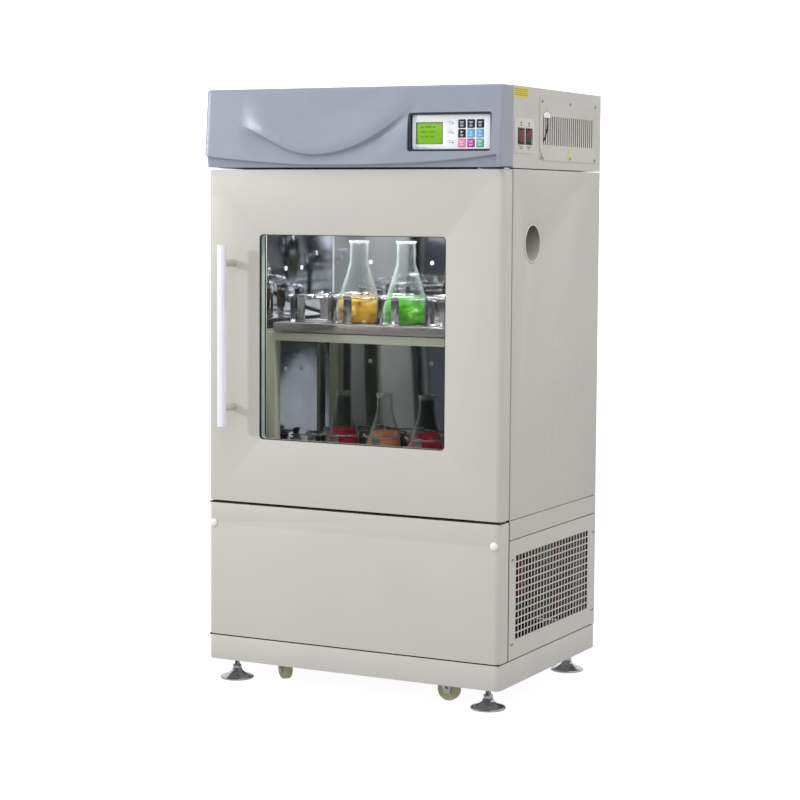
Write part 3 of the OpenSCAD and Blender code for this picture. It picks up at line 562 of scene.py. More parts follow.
def make_fascia():
    lo, hi = box_mm("header_fascia")
    z0, z1, w = lo.z, hi.z, hi.x
    column_step, column_count = 5.05, 139
    columns = [-w, -w + 0.5, -w + 1.6]
    columns += [-w + 4 + column_step * i for i in range(column_count)]
    columns += [w - t for t in (14, 12.5, 11, 9, 6, 3.5, 1.6, 0.5, 0)]
    points, rows = [], 0
    for x in columns:
        lip = lip_height(x, w)
        crease = min(max(wave_height(x), z0 + lip + 8), z1 - 22)
        end_zone = 1 - ease((x - (w - 14)) / 4)
        below = [z0 + (lip - 4.5) * t for t in (0, 0.35, 0.7, 1)]
        below += [z0 + lip - t for t in (3.6, 2.6, 1.6, 0.9, 0.4, 0.1)]
        middle = [z0 + lip + 0.5 + (crease - z0 - lip - 0.6) * k / 15 for k in range(16)]
        edge = [crease + 0.3, crease + 0.9]
        upper = [crease + 1.8 + (z1 - 4 - crease - 1.8) * (k / 22) ** 1.15 for k in range(23)]
        loop = [(fascia_point_b(x, z, z0, z1, lip, crease, end_zone), z)
                for z in below + middle + edge + upper]
        top_b = loop[-1][0]
        loop += [(top_b + 0.9, z1 - 1.6), (top_b + 2.2, z1 - 0.4), (top_b + 4.5, z1)]
        loop += [(45, z1), (45, z0)]
        rows = len(loop)
        inset = max(0.0, 2.4 - (w - abs(x)) ** 0.5 * 0.98) if w - abs(x) < 6 else 0
        mid_z = (z0 + z1) / 2
        for b, z in loop:
            b += inset if b < 20 else 0
            z += inset * (1 if z < mid_z else -1) * min(1, abs(z - mid_z) / 80)
            points.append((x, yb(b), z))
    count = len(columns)
    faces = [(i * rows + k, i * rows + (k + 1) % rows,
              (i + 1) * rows + (k + 1) % rows, (i + 1) * rows + k)
             for i in range(count - 1) for k in range(rows)]
    faces += [tuple(range(rows)), tuple((count - 1) * rows + k for k in range(rows))]
    fascia = solid("header_fascia_moulding", points, faces)
    b_lo, b_hi = box_mm("control_bezel")
    pocket = slab("pocket", rounded(b_lo.x - 0.4, b_hi.x + 0.4, b_lo.z - 0.4, b_hi.z + 0.4, 6),
                  "Y", yb(-30), yb(20))
    cut(fascia, pocket)
    dress(fascia, "cabinet", "header_fascia", "fascia", smooth=28)
    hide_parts("header_fascia")


LAMP_X = 241
LAMP_ROWS = (1204, 1224, 1244)
LAMP_PROFILE = [(0, -1.0), (0.9, -0.8), (1.5, 0), (1.5, 4), (0, 4)]


def make_controls():
    refined("control_bezel", 1.2, "navy", segments=3)
    refined("control_plate", 0.5, "overlay")
    refined("lcd_display", 0.2, "lcd")
    front = box_mm("control_plate")[0].y
    lcd_lo, lcd_hi = box_mm("lcd_display")
    ring = slab("display_frame",
                rounded(lcd_lo.x - 1, lcd_hi.x + 1, lcd_lo.z - 1, lcd_hi.z + 1, 1.6),
                "Y", front - 0.3, front + 0.3)
    hole = slab("hole",
                rounded(lcd_lo.x + 0.3, lcd_hi.x - 0.3, lcd_lo.z + 0.3, lcd_hi.z - 0.3, 1),
                "Y", front - 2, front + 2)
    cut(ring, hole)
    dress(ring, "cabinet", "control_bezel", "frame_grey")
    marks = []
    for row, runs in enumerate(((5, 9, 4), (7, 3, 8), (4, 6, 6))):
        x = lcd_lo.x + 9
        for run in runs:
            z = lcd_hi.z - 11 - row * 10
            marks.append(slab("mark", rectangle(x, x + run * 1.6, z, z + 3.6),
                              "Y", lcd_lo.y - 0.08, lcd_lo.y + 0.1))
            x += run * 1.6 + 3
    dress(joined("display_segments", marks), "cabinet", "lcd_display", "lcd_ink")
    prints = []
    for z in LAMP_ROWS:
        for k, width in enumerate((11, 7)):
            x, low = LAMP_X - 13 + 3 * k, z + 3.2 - 3 * k
            prints.append(slab("mark", rectangle(x, x + width, low, low + 1),
                               "Y", front - 0.06, front + 0.1))
    for k, width in enumerate((26, 34)):
        z = lcd_lo.z - 7.5 - 3 * k
        prints.append(slab("mark", rectangle(lcd_lo.x, lcd_lo.x + width, z, z + 1),
                           "Y", front - 0.06, front + 0.1))
    dress(joined("panel_print", prints), "cabinet", "control_plate", "pale_ink")
    lamps = [lathe("lamp", LAMP_PROFILE, (LAMP_X, front, z), "Y", 20)
             for z in (LAMP_ROWS[0], LAMP_ROWS[2])]
    dress(joined("indicator_lamps", lamps), "cabinet", "control_bezel", "ink")
    lamp = lathe("indicator_lamp_clear", LAMP_PROFILE, (LAMP_X, front, LAMP_ROWS[1]), "Y", 20)
    dress(lamp, "cabinet", "control_plate", "pale_ink")


# colour and sign of each key
KEYS = {"key_mode": ("key_black", "bars"), "key_set": ("key_black", "bars"),
        "key_shift": ("key_black", "bars"), "key_right": ("key_black", "right"),
        "key_up": ("key_blue", "up"), "key_down": ("key_blue", "down"),
        "key_light": ("key_pink", "bars"), "key_stop": ("key_magenta", "bars"),
        "key_start": ("key_green", "bars")}
ARROWS = {"right": [(-2.4, 3), (2.8, 0), (-2.4, -3)], "up": [(-3, -2), (3, -2), (0, 2.6)],
          "down": [(-3, 2), (0, -2.6), (3, 2)]}


def make_keys():
    for node, (tint, sign) in KEYS.items():
        refined(node, 0.9, tint, segments=3)
        lo, hi = box_mm(node)
        cx, cz = (lo.x + hi.x) / 2, (lo.z + hi.z) / 2
        marks = []
        if sign in ARROWS:
            marks.append([(cx + u, cz + 2.8 + v) for u, v in ARROWS[sign]])
            lines = ((-4.2, 7.6, -3.6), (-3.4, 6.2, -5.8))
        else:
            lines = ((-4.6, 9, 3.4), (-3.8, 7.4, 0.9), (-4.2, 8.2, -3.6), (-3, 5.6, -5.8))
        for left, width, up in lines:
            marks.append(rectangle(cx + left, cx + left + width, cz + up, cz + up + 1.2))
        piece = joined(node + "_sign",
                       [slab("mark", m, "Y", lo.y - 0.06, lo.y + 0.2) for m in marks])
        dress(piece, node, "control_plate", "white_ink")


def cross_screw(centre, axis, out, r=4.0, height=1.9):
    """Domed screw head with a cross recess, standing out along the axis by its sign."""
    dome = [(0, height)] + [(r * sin(a), height * cos(a) ** 0.7)
                            for a in (radians(d) for d in (20, 40, 60, 75))]
    profile = [(u, v * out) for u, v in dome] + [(r, 0), (r, -1.2 * out), (0, -1.2 * out)]
    head = lathe("head", profile, centre, axis, 28)
    order = {"X": (1, 2, 0), "Y": (0, 2, 1), "Z": (0, 1, 2)}[axis]
    cu, cv, ch = (centre[i] for i in order)
    slots = [slab("slot", rectangle(cu - a * r, cu + a * r, cv - b * r, cv + b * r), axis,
                  ch + out * height * 0.45, ch + out * (height + 2))
             for a, b in ((0.62, 0.13), (0.13, 0.62))]
    return cut(head, *slots)


RECESS_AREA = 4.5e-6    # the flat faces in a screw's cross are smaller than this, in square metres


def make_fasteners():
    """Screws on both sides and the two white caps of the lower cover."""
    panel_x = HALF_W + 1.5
    heads = []
    for s in (1, -1):
        for z in (141, 323):
            heads += [cross_screw((s * HALF_W, yb(b), z), "X", s, 4.6, 2.2) for b in (63, 517)]
        for z in (1177, 1297):
            heads += [cross_screw((s * panel_x, yb(b), z), "X", s, 4.8, 1.65)
                      for b in (190, 347, 492)]
    screws = joined("panel_screws", heads)
    dress(screws, "cabinet", "panel_fasteners", "zinc", "black")
    # the small flat faces in the screws' cross recesses are coloured black: painted shade
    second_material(screws, lambda face, centre: face.area < RECESS_AREA
                    and abs(face.normal.x) > 0.95 and abs(centre.x) < HALF_W + 3.0)
    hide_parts("panel_fasteners")
    caps = [lathe("cap", [(0, -6), (3.5, -5.7), (6.5, -4.4), (8.6, -2.2), (9.2, -0.6), (8.9, 0),
                          (4, 0), (4, 10), (0, 10)], (x, yb(0), 359), "Y", 48) for x in (-346, 346)]
    dress(joined("cover_caps", caps), "cabinet", "door_handle", "cap_white")


def make_header_sides():
    refined("top_housing", 1.2, "body")
    refined("header_vent_panel", 0.5, "body", segments=1)
    plate = refined("switch_plate", 0.5, "switch_white", "black")
    second_material(plate, lambda face, centre: centre.x > HALF_W + 1.35)
    refined("rocker_power", 0.7, "red", segments=3)
    rocker = refined("rocker_lamp", 0.7, "green", "red", segments=3)
    lo, hi = box_mm("rocker_lamp")
    red_from = lo.z + 0.62 * (hi.z - lo.z)
    second_material(rocker, lambda face, centre: centre.z > red_from)
    # plain stickers and switch markings
    label = slab("blank_label", rectangle(yb(47), yb(120), 1300, 1320),
                 "X", HALF_W - 0.2, HALF_W + 0.25)
    dress(label, "cabinet", "lcd_display", "yellow")
    rules = [slab("rule", rectangle(yb(50), yb(117), z, z + 1.5), "X", HALF_W, HALF_W + 0.32)
             for z in (1303.5, 1307.5, 1312, 1316)]
    dress(joined("label_rules", rules), "cabinet", "lcd_display", "stripe")
    sign = slab("blank_triangle", [(yb(331), 1179), (yb(355), 1179), (yb(343), 1198)],
                "X", HALF_W + 1.3, HALF_W + 1.75)
    dress(sign, "cabinet", "lcd_display", "yellow")
    plate_x = HALF_W + 1.2
    prints = []
    for b in (82, 123):
        prints.append(lathe("dot", [(0, 0.3), (2.6, 0.3), (2.6, -0.3), (0, -0.3)],
                            (plate_x, yb(b), 1247), "X", 20))
        for z, half in ((1241, 6), (1196, 9), (1192.5, 6)):
            prints.append(slab("dash", rectangle(yb(b - half), yb(b + half), z, z + 1.4),
                               "X", plate_x - 0.2, plate_x + 0.12))
    dress(joined("switch_print", prints), "cabinet", "door_seals", "ink")


def make_clip_and_lead():
    """White cable clip on the right vent panel and the short black lead held by it."""
    x = HALF_W + 1.5
    strap = [(yb(199), 1262), (yb(233), 1262), (yb(233), 1268), (yb(224), 1274), (yb(210), 1274),
             (yb(199), 1270)]
    clip = soften(slab("cable_clip", strap, "X", x - 0.2, x + 1.9), 0.9, 3)
    dress(clip, "cabinet", "switch_plate", "cap_white")
    screw = cross_screw((x, yb(219), 1280), "X", 1, 3.4, 1.5)
    screw.name = "clip_screw"
    dress(screw, "cabinet", "panel_fasteners", "zinc")
    path = smooth_path([(x - inset, yb(b), z) for inset, b, z in
                        ((0.6, 219, 1267), (0.9, 221, 1256), (0.6, 221, 1246),
                         (0.7, 214, 1230), (1.0, 205, 1216), (5, 201, 1208))])
    dress(tube("clipped_lead", path, 2.6, 12), "cabinet", "door_seals", "rubber")


# ---------- cabinet ----------

def make_cabinet():
    """Skins and bay, with dark strips behind the seams between them, a painted shadow that closes
    the view through them.
    """
    refined("base_frame", 1.2, "body")
    refined("machine_bay_frame", 0, "bay")
    refined("lower_front_cover", 1.8, "body", segments=3)
    grille = refined("side_grille_panels", 0, "body", "hole_wall")
    lo, hi = box_mm("side_grille_panels")
    # the walls of the grille's holes get a dark colour for the shade inside them: painted shade
    second_material(grille, lambda face, centre: abs(face.normal.x) < 0.5
                    and lo.z + 6 < centre.z < hi.z - 6 and lo.y + 6 < centre.y < hi.y - 6)
    # dark strips behind the open seams stand in for the shadow in them: painted shadow
    strips = [block("strip", -HALF_W + 2, HALF_W - 2, 2.5, 30, z0, z1)
              for z0, z1 in ((103.8, 107.2), (404.8, 407.6))]
    strips += [block("strip", s * (HALF_W - 3) - 2, s * (HALF_W - 3) + 2, 43.8, 49.2, 104.2, 404)
               for s in (-1, 1)]
    strips.append(block("strip", -HALF_W + 4, HALF_W - 4, 526, 529.6, 402, 407.8))
    strips += [block("strip", s * (HALF_W - 5) - 1, s * (HALF_W - 5) + 1, 56, 524, 398, 407.8)
               for s in (-1, 1)]
    dress(joined("seam_shadow_strips", strips), "cabinet", "door_seals", "gap")
    refined("cabinet_shell", 1.0, "body", segments=2)
    refined("insulation", 0, "foam")
    refined("chamber_liner", 0.8, "mirror", segments=2)
    # the inner faces of the port's bore get the painted shade, dark at the top and light at the
    # bottom
    sleeve = refined("port_tube", 1.6, "port", "port_bore", segments=3)
    middle = sum(box_mm("port_tube"), Vector((0, 0, 0))) / 2
    second_material(sleeve, lambda face, centre: abs(face.normal.x) < 0.6
                    and (centre - middle).yz.dot(face.normal.yz) < 0)
    make_inlet()
    make_chamber_details()


def make_inlet():
    """Mains inlet low on the back."""
    socket = slab("mains_inlet", rounded(-298.5, -261.5, 151.5, 178.5, 2.5),
                  "Y", yb(530.2), yb(531.6))
    cut(socket, slab("hole", rounded(-293, -267, 156, 174, 3), "Y", yb(530.9), yb(536)))
    dress(soften(socket, 0.3), "cabinet", "door_seals", "black")
    pins = [block("pin", x - 1, x + 1, 530.7, 531.5, z - 3, z + 3, 0.2)
            for x, z in ((-287, 163), (-280, 168), (-273, 163))]
    dress(joined("mains_inlet_pins", pins), "cabinet", "panel_fasteners", "zinc")


def make_chamber_details():
    """Sealant in the chamber's rear corners and domed studs on its walls."""
    lo, hi = box_mm("chamber_liner")
    left, right, back = lo.x + 2, hi.x - 2, hi.y - 2
    floor, ceiling = lo.z + 2, hi.z - 2
    bead = [(0, floor + 1), (0, ceiling - 1), (1.8, ceiling - 1), (1.8, floor + 1)]
    beads = [lathe("bead", bead, (x, back - 1.4, 0), "Z", 12) for x in (left + 1.4, right - 1.4)]
    dress(joined("corner_sealant", beads), "cabinet", "port_tube", "sealant")
    dome = [(0, 3.2), (2.6, 2.9), (4.8, 1.8), (5.6, 0.3), (5.6, -0.5), (0, -0.5)]
    studs = [lathe("stud", [(r, -h) for r, h in dome], (x, back, z), "Y", 24)
             for x in (-200, -36, 130) for z in (700, 937)]
    studs += [lathe("stud", dome, (left, yb(b), z), "X", 24)
              for b in (243, 317) for z in (690, 925)]
    dress(joined("wall_studs", studs), "cabinet", "chamber_liner", "stud")


def make_plug():
    """Ribbed stopper with a grip knob."""
    lo, hi = box_mm("port_plug")
    centre = (0, (lo.y + hi.y) / 2, (lo.z + hi.z) / 2)
    r = (hi.z - lo.z) / 2
    face = hi.x - 10
    ribs = 5
    pitch = (face - lo.x - 3) / ribs
    profile = [(0, lo.x), (r - 2, lo.x)]
    for k in range(ribs):
        x = lo.x + 1.5 + pitch * k
        profile += [(r - 1.6, x), (r, x + 0.25 * pitch), (r, x + 0.65 * pitch),
                    (r - 1.6, x + 0.9 * pitch)]
    profile += [(r - 3, face), (r - 8, face), (r - 9, face - 2), (11, face - 2), (10, face),
                (9, hi.x - 2), (7.5, hi.x - 0.4), (5, hi.x), (0, hi.x)]
    plug = lathe("port_plug_moulding", profile, centre, "X", 56)
    dress(plug, "port_plug", "port_plug", "port")
    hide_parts("port_plug")


# ---------- door ----------

def make_door():
    refined("door_shell", 1.6, "body", segments=3)
    refined("door_inner_panel", 1.0, "liner", segments=2)
    refined("door_glass", 0.6, "pane", segments=1)
    refined("door_seals", 0.8, "rubber", segments=2)
    handle = refined("door_handle", 1.4, "handle", "body", segments=3)
    # the standoffs behind the bar take the body's paint, darker than the bar, for the shadow they
    # stand in: painted shade
    bar_back = box_mm("door_handle")[0].y + 22
    second_material(handle, lambda face, centre: centre.y > bar_back)
    lo, hi = box_mm("door_glass")
    hidden = 10.5    # width of the pane's rim that lies behind the skin
    half, low, high = hi.x - hidden, lo.z + hidden, hi.z - hidden
    for name, b0, b1, inset, tint in (("window_gasket", 0.4, 7.5, 1.5, "rubber"),
                                      ("window_reveal", 7.5, 21.9, 1.0, "reveal")):
        trim = slab(name, rounded(-half + 0.02, half - 0.02, low + 0.02, high - 0.02, 9),
                    "Y", yb(b0), yb(b1))
        hole = slab("hole", rounded(-half + inset, half - inset, low + inset, high - inset, 8),
                    "Y", yb(-5), yb(30))
        cut(trim, hole)
        dress(trim, "door", "door_seals", tint)
    refined("hinge_brackets", 0.5, "zinc", segments=2)


# ---------- shaker ----------

def make_drive():
    for node, width, tint in (("drive_bed", 1.0, "bed"), ("main_crank", 0.7, "machined"),
                              ("drive_belt", 0.4, "rubber"), ("drive_motor", 1.5, "motor"),
                              ("motor_pulley", 0.5, "machined"),
                              ("idler_crank_left", 0.5, "machined"),
                              ("idler_crank_right", 0.5, "machined")):
        refined(node, width, tint)


def make_rack():
    refined("shaking_frame", 1.6, "rack", segments=3)
    refined("upper_tray", 1.4, "satin", segments=3)
    refined("lower_tray", 1.4, "satin", segments=3)


def ring_places(node, z_low, z_high):
    """Centre, top and half width of each of a node's solids that starts between two heights."""
    bm = bmesh.new()
    bm.from_mesh(frame["nodes"][node].data)
    bmesh.ops.remove_doubles(bm, verts=bm.verts, dist=0.01 * MM)
    left, out = set(bm.verts), []
    while left:
        stack, group = [left.pop()], []
        while stack:
            vert = stack.pop()
            group.append(vert.co.copy())
            for edge in vert.link_edges:
                other = edge.other_vert(vert)
                if other in left:
                    left.remove(other)
                    stack.append(other)
        lo = Vector([min(c[i] for c in group) for i in range(3)]) / MM
        hi = Vector([max(c[i] for c in group) for i in range(3)]) / MM
        if z_low <= lo.z <= z_high:
            out.append(((lo.x + hi.x) / 2, (lo.y + hi.y) / 2, hi.z, (hi.x - lo.x) / 2))
    bm.free()
    return sorted(out, key=lambda p: (round(p[1]), p[0]))


def strap_outline(r, height):
    """Side view of one clamp strap: foot on the tray, upright, and a lip curled out at the top."""
    t = 1.5
    outer = [(r - 18, 0), (r - 1, 0), (r + 1.6, 2.6), (r + 1.8, height - 8), (r + 1.4, height - 4),
             (r + 2.6, height), (r + 5.2, height + 1.4)]
    inner = [(u - t * 0.9, v + t) if v < 1 else (u - t, v) for u, v in outer]
    inner[-1] = (r + 5.0, height + 2.9)
    inner[-2] = (r + 1.6, height + 1.2)
    return outer + inner[::-1]


STRAP_HALF = 10     # half the width of a strap
WIRE_R = 1.1        # radius of the ring's wire
COIL_R = 2.3        # radius of the small springs' coils


def make_clamp(name, x, y, z, r, height):
    """One flask clamp: four bent straps, base ring, wire ring and the small springs on it."""
    parts = []
    outline = strap_outline(r, height)
    n = len(outline)
    for quarter in range(4):
        a = radians(90 * quarter)
        radial = Vector((cos(a), sin(a), 0))
        across = Vector((-sin(a), cos(a), 0))
        points = [Vector((x, y, z)) + radial * u + Vector((0, 0, v)) + across * s
                  for s in (-STRAP_HALF, STRAP_HALF) for u, v in outline]
        faces = [tuple(range(n)), tuple(range(n, 2 * n))]
        faces += [(i, (i + 1) % n, n + (i + 1) % n, n + i) for i in range(n)]
        parts.append(soften(solid("strap", points, faces), 0.3, 1))
    parts.append(lathe("base", rectangle(r - 16, r + 2, 0, 1.4), (x, y, z), "Z", 48))
    ring_z = z + height - 2
    ring_r = r + 3.4
    wire = [(ring_r + WIRE_R * cos(radians(45 * k)), WIRE_R * sin(radians(45 * k)))
            for k in range(8)]
    parts.append(lathe("wire", wire, (x, y, ring_z), "Z", 64))
    turns, per_turn, sweep = 13, 7, 50
    for quarter in range(4):
        start = 90 * quarter + 20
        helix = []
        for k in range(turns * per_turn + 1):
            t = k / (turns * per_turn)
            a = radians(start + sweep * t)
            c = 2 * pi * k / per_turn
            rr = ring_r + COIL_R * cos(c)
            helix.append((x + rr * cos(a), y + rr * sin(a), ring_z + COIL_R * sin(c)))
        parts.append(tube("spring", helix, 0.55, 5))
    return joined(name, parts)


# deck, how full its flasks are, and their colours from left to right
DECKS = (("upper", 0.33, ("yellow_liquid", "green_liquid")),
         ("lower", 0.42, ("red_liquid", "orange_liquid", "red_liquid")))


def make_clamps_and_flasks():
    clamps, flasks = [], []
    for deck, share, fills in DECKS:
        top = box_mm(f"{deck}_tray")[1].z
        for k, (x, y, _, half) in enumerate(ring_places("flask_clamps", top - 5, top + 5), 1):
            height = 60 if half > 55 else 50 if half > 45 else 40
            clamp = make_clamp(f"{deck}_clamp_{k}", x, y, top, half - 5, height)
            dress(clamp, "shaking_rack", "flask_clamps", "spring", smooth=40)
            clamps.append(clamp)
    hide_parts("flask_clamps")
    for deck, share, fills in DECKS:
        top = box_mm(f"{deck}_tray")[1].z
        for k, (x, y, rim, r) in enumerate(ring_places("flasks", top - 5, top + 5), 1):
            foot, height = top + 0.2, rim - top
            flasks.append(make_flask(f"{deck}_flask_{k}", x, y, foot, r, height))
            fill = fills[(k - 1) % len(fills)]
            make_fill(f"{deck}_liquid_{k}", x, y, foot, r, height, share, fill)
    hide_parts("flasks")


def flask_neck(r):
    return 21.0 if r > 50 else 17.5


def flask_radius(t, r, h):
    """Outer radius of a conical flask at height t."""
    neck = flask_neck(r)
    belly, knee, neck_z = 0.16 * h, 0.3 * h, 0.745 * h
    if t < belly:
        c = 1 - t / belly
        return r - 11 * (1 - sqrt(max(0.0, 1 - c ** 2.6)))
    if t < knee:
        return r * (1 - 0.13 * ((t - belly) / (knee - belly)) ** 1.7)
    if t < neck_z:
        u = (t - knee) / (neck_z - knee)
        return 0.87 * r + (neck - 0.87 * r) * (u + 0.05 * sin(pi * u) ** 2 * (u > 0.5))
    return neck + 3.0 * ease((t - (h - 6)) / 4)


def make_flask(name, x, y, z, r, h):
    """Glass shell with a rounded base, a cone, a neck and a beaded rim."""
    wall, neck = 1.7, flask_neck(r)
    steps = [0, 0.004, 0.012, 0.025, 0.045, 0.07, 0.1] + [0.14 + 0.062 * k for k in range(10)]
    steps += [0.74, 0.77, 0.8, 0.86, 0.93, 0.966, 0.98, 0.993]
    outer = [(0, 0.6), (r * 0.55, 0.4)] + [(flask_radius(s * h, r, h), s * h) for s in steps]
    rim = [(neck + 2.6, h), (neck + 0.2, h)]
    inner = [(max(0.0, flask_radius(s * h, r, h) - wall) if s * h < h - 8 else neck - wall,
              max(s * h, 2.4)) for s in reversed(steps) if s > 0.012]
    profile = outer + rim + inner + [(r * 0.5, 2.4), (0, 2.9)]
    glass = lathe(name, profile, (x, y, z), "Z", 56)
    dress(glass, "shaking_rack", "flasks", "flask", "rim", smooth=50)
    second_material(glass, lambda face, centre: centre.z > z + h - 9)
    return glass


def make_fill(name, x, y, z, r, h, share, fill):
    """Liquid in a flask, filling the given share of its height, with a meniscus."""
    gap = 1.75
    top = share * h
    levels = [t * h for t in (0.03, 0.05, 0.08, 0.12, 0.18, 0.26, 0.34, 0.42)]
    side = [(flask_radius(t, r, h) - gap, t) for t in levels if t < top - 1]
    side.append((flask_radius(top, r, h) - gap, top))
    profile = [(0, 2.95), (r * 0.6, 2.6)] + side + [(side[-1][0] - 2, top - 0.7), (0, top - 0.9)]
    piece = lathe(name, profile, (x, y, z), "Z", 56)
    return dress(piece, "shaking_rack", "flasks", fill, smooth=50)


# ---------- refrigeration, fans and running gear ----------

def make_machinery():
    refined("compressor", 2.0, "enamel", segments=3)
    refined("condenser", 0.3, "fins", segments=1)
    refined("condenser_fan", 0.5, "black", segments=1)
    refined("circulation_fan", 0.5, "fan_metal", segments=1)
    cx, cb, top = 200, 360, box_mm("compressor")[1].z
    suction = smooth_path([(cx + 50, yb(cb - 30), top - 22), (cx + 62, yb(cb - 34), top + 14),
                           (cx + 40, yb(cb - 90), top + 30), (cx - 60, yb(cb - 150), top + 10),
                           (-120, yb(180), 300), (-240, yb(168), 296)])
    discharge = smooth_path([(cx + 68, yb(cb + 10), 170), (cx + 96, yb(cb + 6), 176),
                             (cx + 100, yb(cb - 60), 190), (cx + 84, yb(cb - 150), 150),
                             (cx - 20, yb(cb - 190), 122), (-150, yb(158), 120),
                             (-262, yb(162), 132)])
    loop = smooth_path([(cx + 92, yb(cb + 90), 130), (cx + 98, yb(cb + 96), 210),
                        (cx + 96, yb(cb + 80), 300), (cx + 94, yb(cb + 40), 338),
                        (cx + 90, yb(cb + 8), 300), (cx + 92, yb(cb + 6), 236),
                        (cx + 74, yb(cb + 40), 214), (cx + 50, yb(cb + 44), 210)])
    pipes = [tube("pipe", p, r, 12) for p, r in ((suction, 5), (discharge, 4), (loop, 4))]
    dress(joined("copper_pipes", pipes), "cabinet", "condenser", "copper")
    half = [(4, 56), (4, 46), (13, 38)]
    profile = [(0, -58)] + [(r, -h) for r, h in half] + half[::-1] + [(0, 58)]
    bottle = lathe("filter_drier", profile, (cx + 96, yb(cb - 110), 250), "Z", 32)
    dress(bottle, "cabinet", "condenser", "copper")


def hex_nut(x, y, z0, z1, across):
    r = across / 2 / cos(radians(30))
    corners = [radians(60 * k + 15) for k in range(6)]
    outline = [(x + r * cos(a), y + r * sin(a)) for a in corners]
    return soften(slab("nut", outline, "Z", z0, z1), 0.9, 2, 20)


def threaded_rod(x, y, z0, z1, r, pitch=1.75, sides=24):
    """Rod whose surface follows a helical thread, as one closed skin."""
    per_turn = 4
    thread_depth = 0.11 * r
    count = int((z1 - z0) / pitch * per_turn)
    points = []
    for i in range(count + 1):
        z = z0 + (z1 - z0) * i / count
        for k in range(sides):
            a = 2 * pi * k / sides
            phase = ((z - z0) / pitch - k / sides) % 1
            depth = thread_depth * (1 - abs(2 * phase - 1)) * (0 < i < count)
            points.append((x + (r - depth) * cos(a), y + (r - depth) * sin(a), z))
    faces = [(i * sides + k, i * sides + (k + 1) % sides, (i + 1) * sides + (k + 1) % sides,
              (i + 1) * sides + k) for i in range(count) for k in range(sides)]
    faces += [tuple(range(sides)), tuple(count * sides + k for k in range(sides))]
    return solid("rod", points, faces)


CORNERS = ("front_left", "front_right", "rear_left", "rear_right")


def make_feet():
    for corner in CORNERS:
        node = f"foot_{corner}"
        lo, hi = box_mm(node)
        x, y, r = (lo.x + hi.x) / 2, (lo.y + hi.y) / 2, (hi.x - lo.x) / 2
        profile = [(0, 0), (r - 1.5, 0), (r - 0.3, 0.8), (r, 2.4), (r - 0.4, 4.2), (r - 2.2, 5.6),
                   (r - 6, 6.6), (22, 10.4), (15, 14.6), (12.6, 17.6), (11, 21.4), (9.6, 22.6),
                   (0, 22.6)]
        disc = lathe("disc", profile, (x, y, 0), "Z", 64)
        foot = joined(f"{node}_assembly", [disc, hex_nut(x, y, 22.4, 31, 18),
                                           threaded_rod(x, y, 30, hi.z, 6)])
        dress(foot, node, node, "zinc", smooth=30)
        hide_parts(node)


def make_casters():
    for side in ("left", "right"):
        refined(f"caster_fork_{side}", 0.6, "zinc", segments=2)
    for corner in CORNERS:
        refined(f"caster_wheel_{corner}", 0.8, "nylon", segments=3)


# ---------- camera, light and stage ----------

CAMERA_PLACE = (2187.6, -4273.0, 1072.4)
CAMERA_ANGLES = (27.212, -4.582, 0.374)     # yaw, pitch and roll in degrees


def make_camera():
    data = bpy.data.cameras.new("camera")
    data.lens, data.sensor_width = 95.84, 36
    data.shift_x, data.shift_y = 0.0045, -0.03
    data.clip_end = 60
    obj = add_object("camera", data)
    yaw, pitch, roll = (radians(v) for v in CAMERA_ANGLES)
    level = Vector((cos(yaw), sin(yaw), 0))
    forward = Vector((-sin(yaw) * cos(pitch), cos(yaw) * cos(pitch),
                      sin(pitch)))
    upright = level.cross(forward)
    right = level * cos(roll) + upright * sin(roll)
    up = upright * cos(roll) - level * sin(roll)
    turn = Matrix((right, up, -forward)).transposed().to_4x4()
    obj.matrix_world = Matrix.Translation(Vector(CAMERA_PLACE) * MM) @ turn
    bpy.context.scene.camera = obj


def area_light(name, place, target, size, power, size_y=None):
    """Area light at a place in metres, turned to its target."""
    data = bpy.data.lights.new(name, "AREA")
    data.energy = power
    data.size = size
    if size_y:
        data.shape = "RECTANGLE"
        data.size_y = size_y
    obj = add_object(name, data)
    obj.location = place
    obj.rotation_euler = (Vector(target) - Vector(place)).to_track_quat("-Z", "Y").to_euler()


def glowing(name, strength, grey, noise, **sockets):
    """Material that shines white over a faintly uneven grey."""
    n = Nodes(name, Emission_Strength=strength, Emission_Color=(1, 1, 1, 1), **sockets)
    n.tint(n.noise(*noise), (grey, grey, grey, 1), 0.004)
    return n.mat


def level_sheet(name, z, half=9000):
    corners = [(u, v, z) for u, v in rectangle(-half, half, -half, half)]
    return solid(name, corners, [(0, 1, 2, 3)])


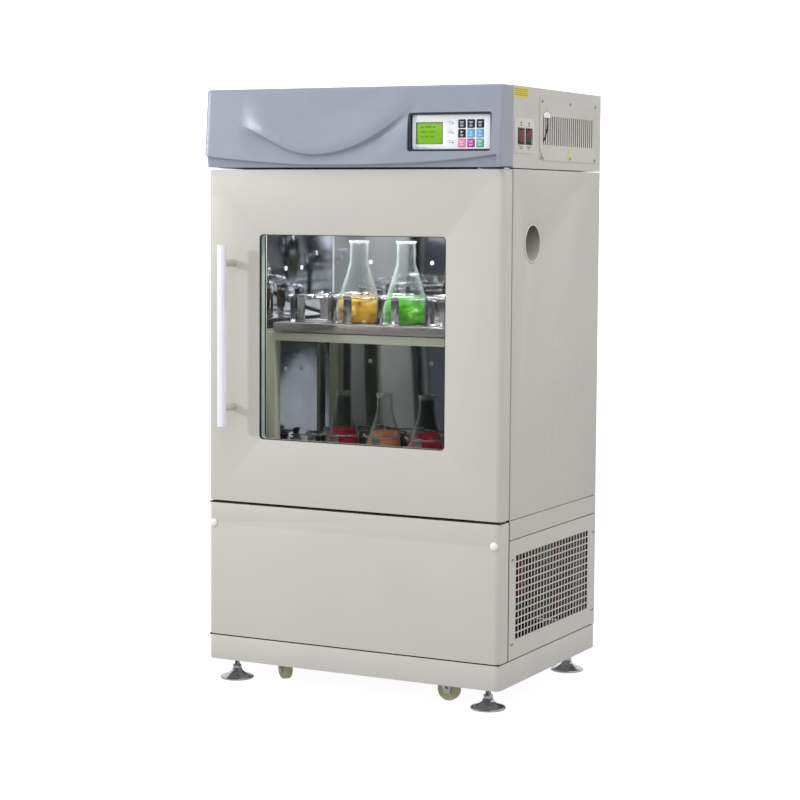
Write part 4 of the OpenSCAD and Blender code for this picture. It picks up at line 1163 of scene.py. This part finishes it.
def put_on_stage(obj, mat, *unseen_by):
    """Stage piece with its material, hidden from the named kinds of ray."""
    obj.data.materials.append(mat)
    for ray in unseen_by:
        setattr(obj, f"visible_{ray}", False)


def make_stage():
    scene = bpy.context.scene
    world = bpy.data.worlds.new("studio")
    world.use_nodes = True
    background = world.node_tree.nodes["Background"]
    background.inputs["Color"].default_value = (1, 1, 1, 1)
    background.inputs["Strength"].default_value = 0.98
    scene.world = world
    area_light("key_light", (-3.3, -2.9, 1.75), (0, 0, 0.8), 0.35, 62)
    area_light("top_light", (0.3, -1.9, 3.3), (0, 0, 0.9), 2.2, 14)
    area_light("chamber_lamp", (0.0, yb(70) * MM, 1.075), (0, yb(300) * MM, 0.7), 0.5, 3.0,
               size_y=0.05)
    white = glowing("floor_white", 0.93, 0.2, (3, 2), Roughness=0.8, Specular_IOR_Level=0.1)
    put_on_stage(level_sheet("floor", -0.5), white, "diffuse", "glossy")
    # what the machine sees below it: a grey that the camera doesn't
    grey = glowing("ground_grey", 0.42, 0.2, (3, 2), Roughness=0.9, Specular_IOR_Level=0.1)
    put_on_stage(level_sheet("grey_ground", -2), grey, "camera", "shadow", "transmission")
    # white dome that only the camera sees, behind everything
    bm = bmesh.new()
    bmesh.ops.create_icosphere(bm, subdivisions=4, radius=25)
    backdrop = glowing("backdrop_white", 1.1, 0.5, (1, 1), Roughness=1.0)
    put_on_stage(from_bmesh("backdrop_dome", bm), backdrop,
                 "diffuse", "glossy", "shadow", "transmission")
    # dark card that only reflections see, so that polished steel has something to mirror
    card = solid("dark_card", [(-4200, -4600, 0), (3600, -4600, 0), (3600, -4600, 2300),
                               (-4200, -4600, 2300)], [(0, 1, 2, 3)])
    n = Nodes("card_grey", Roughness=0.9)
    n.tint(n.noise(2, 2), rgb(84, 86, 94), 0.1)
    put_on_stage(card, n.mat, "camera", "diffuse", "shadow", "transmission")
    scene.view_settings.view_transform = "Standard"


make_camera()
make_fascia()
make_controls()
make_keys()
make_fasteners()
make_header_sides()
make_clip_and_lead()
make_cabinet()
make_plug()
make_door()
make_drive()
make_rack()
make_clamps_and_flasks()
make_machinery()
make_feet()
make_casters()
make_stage()
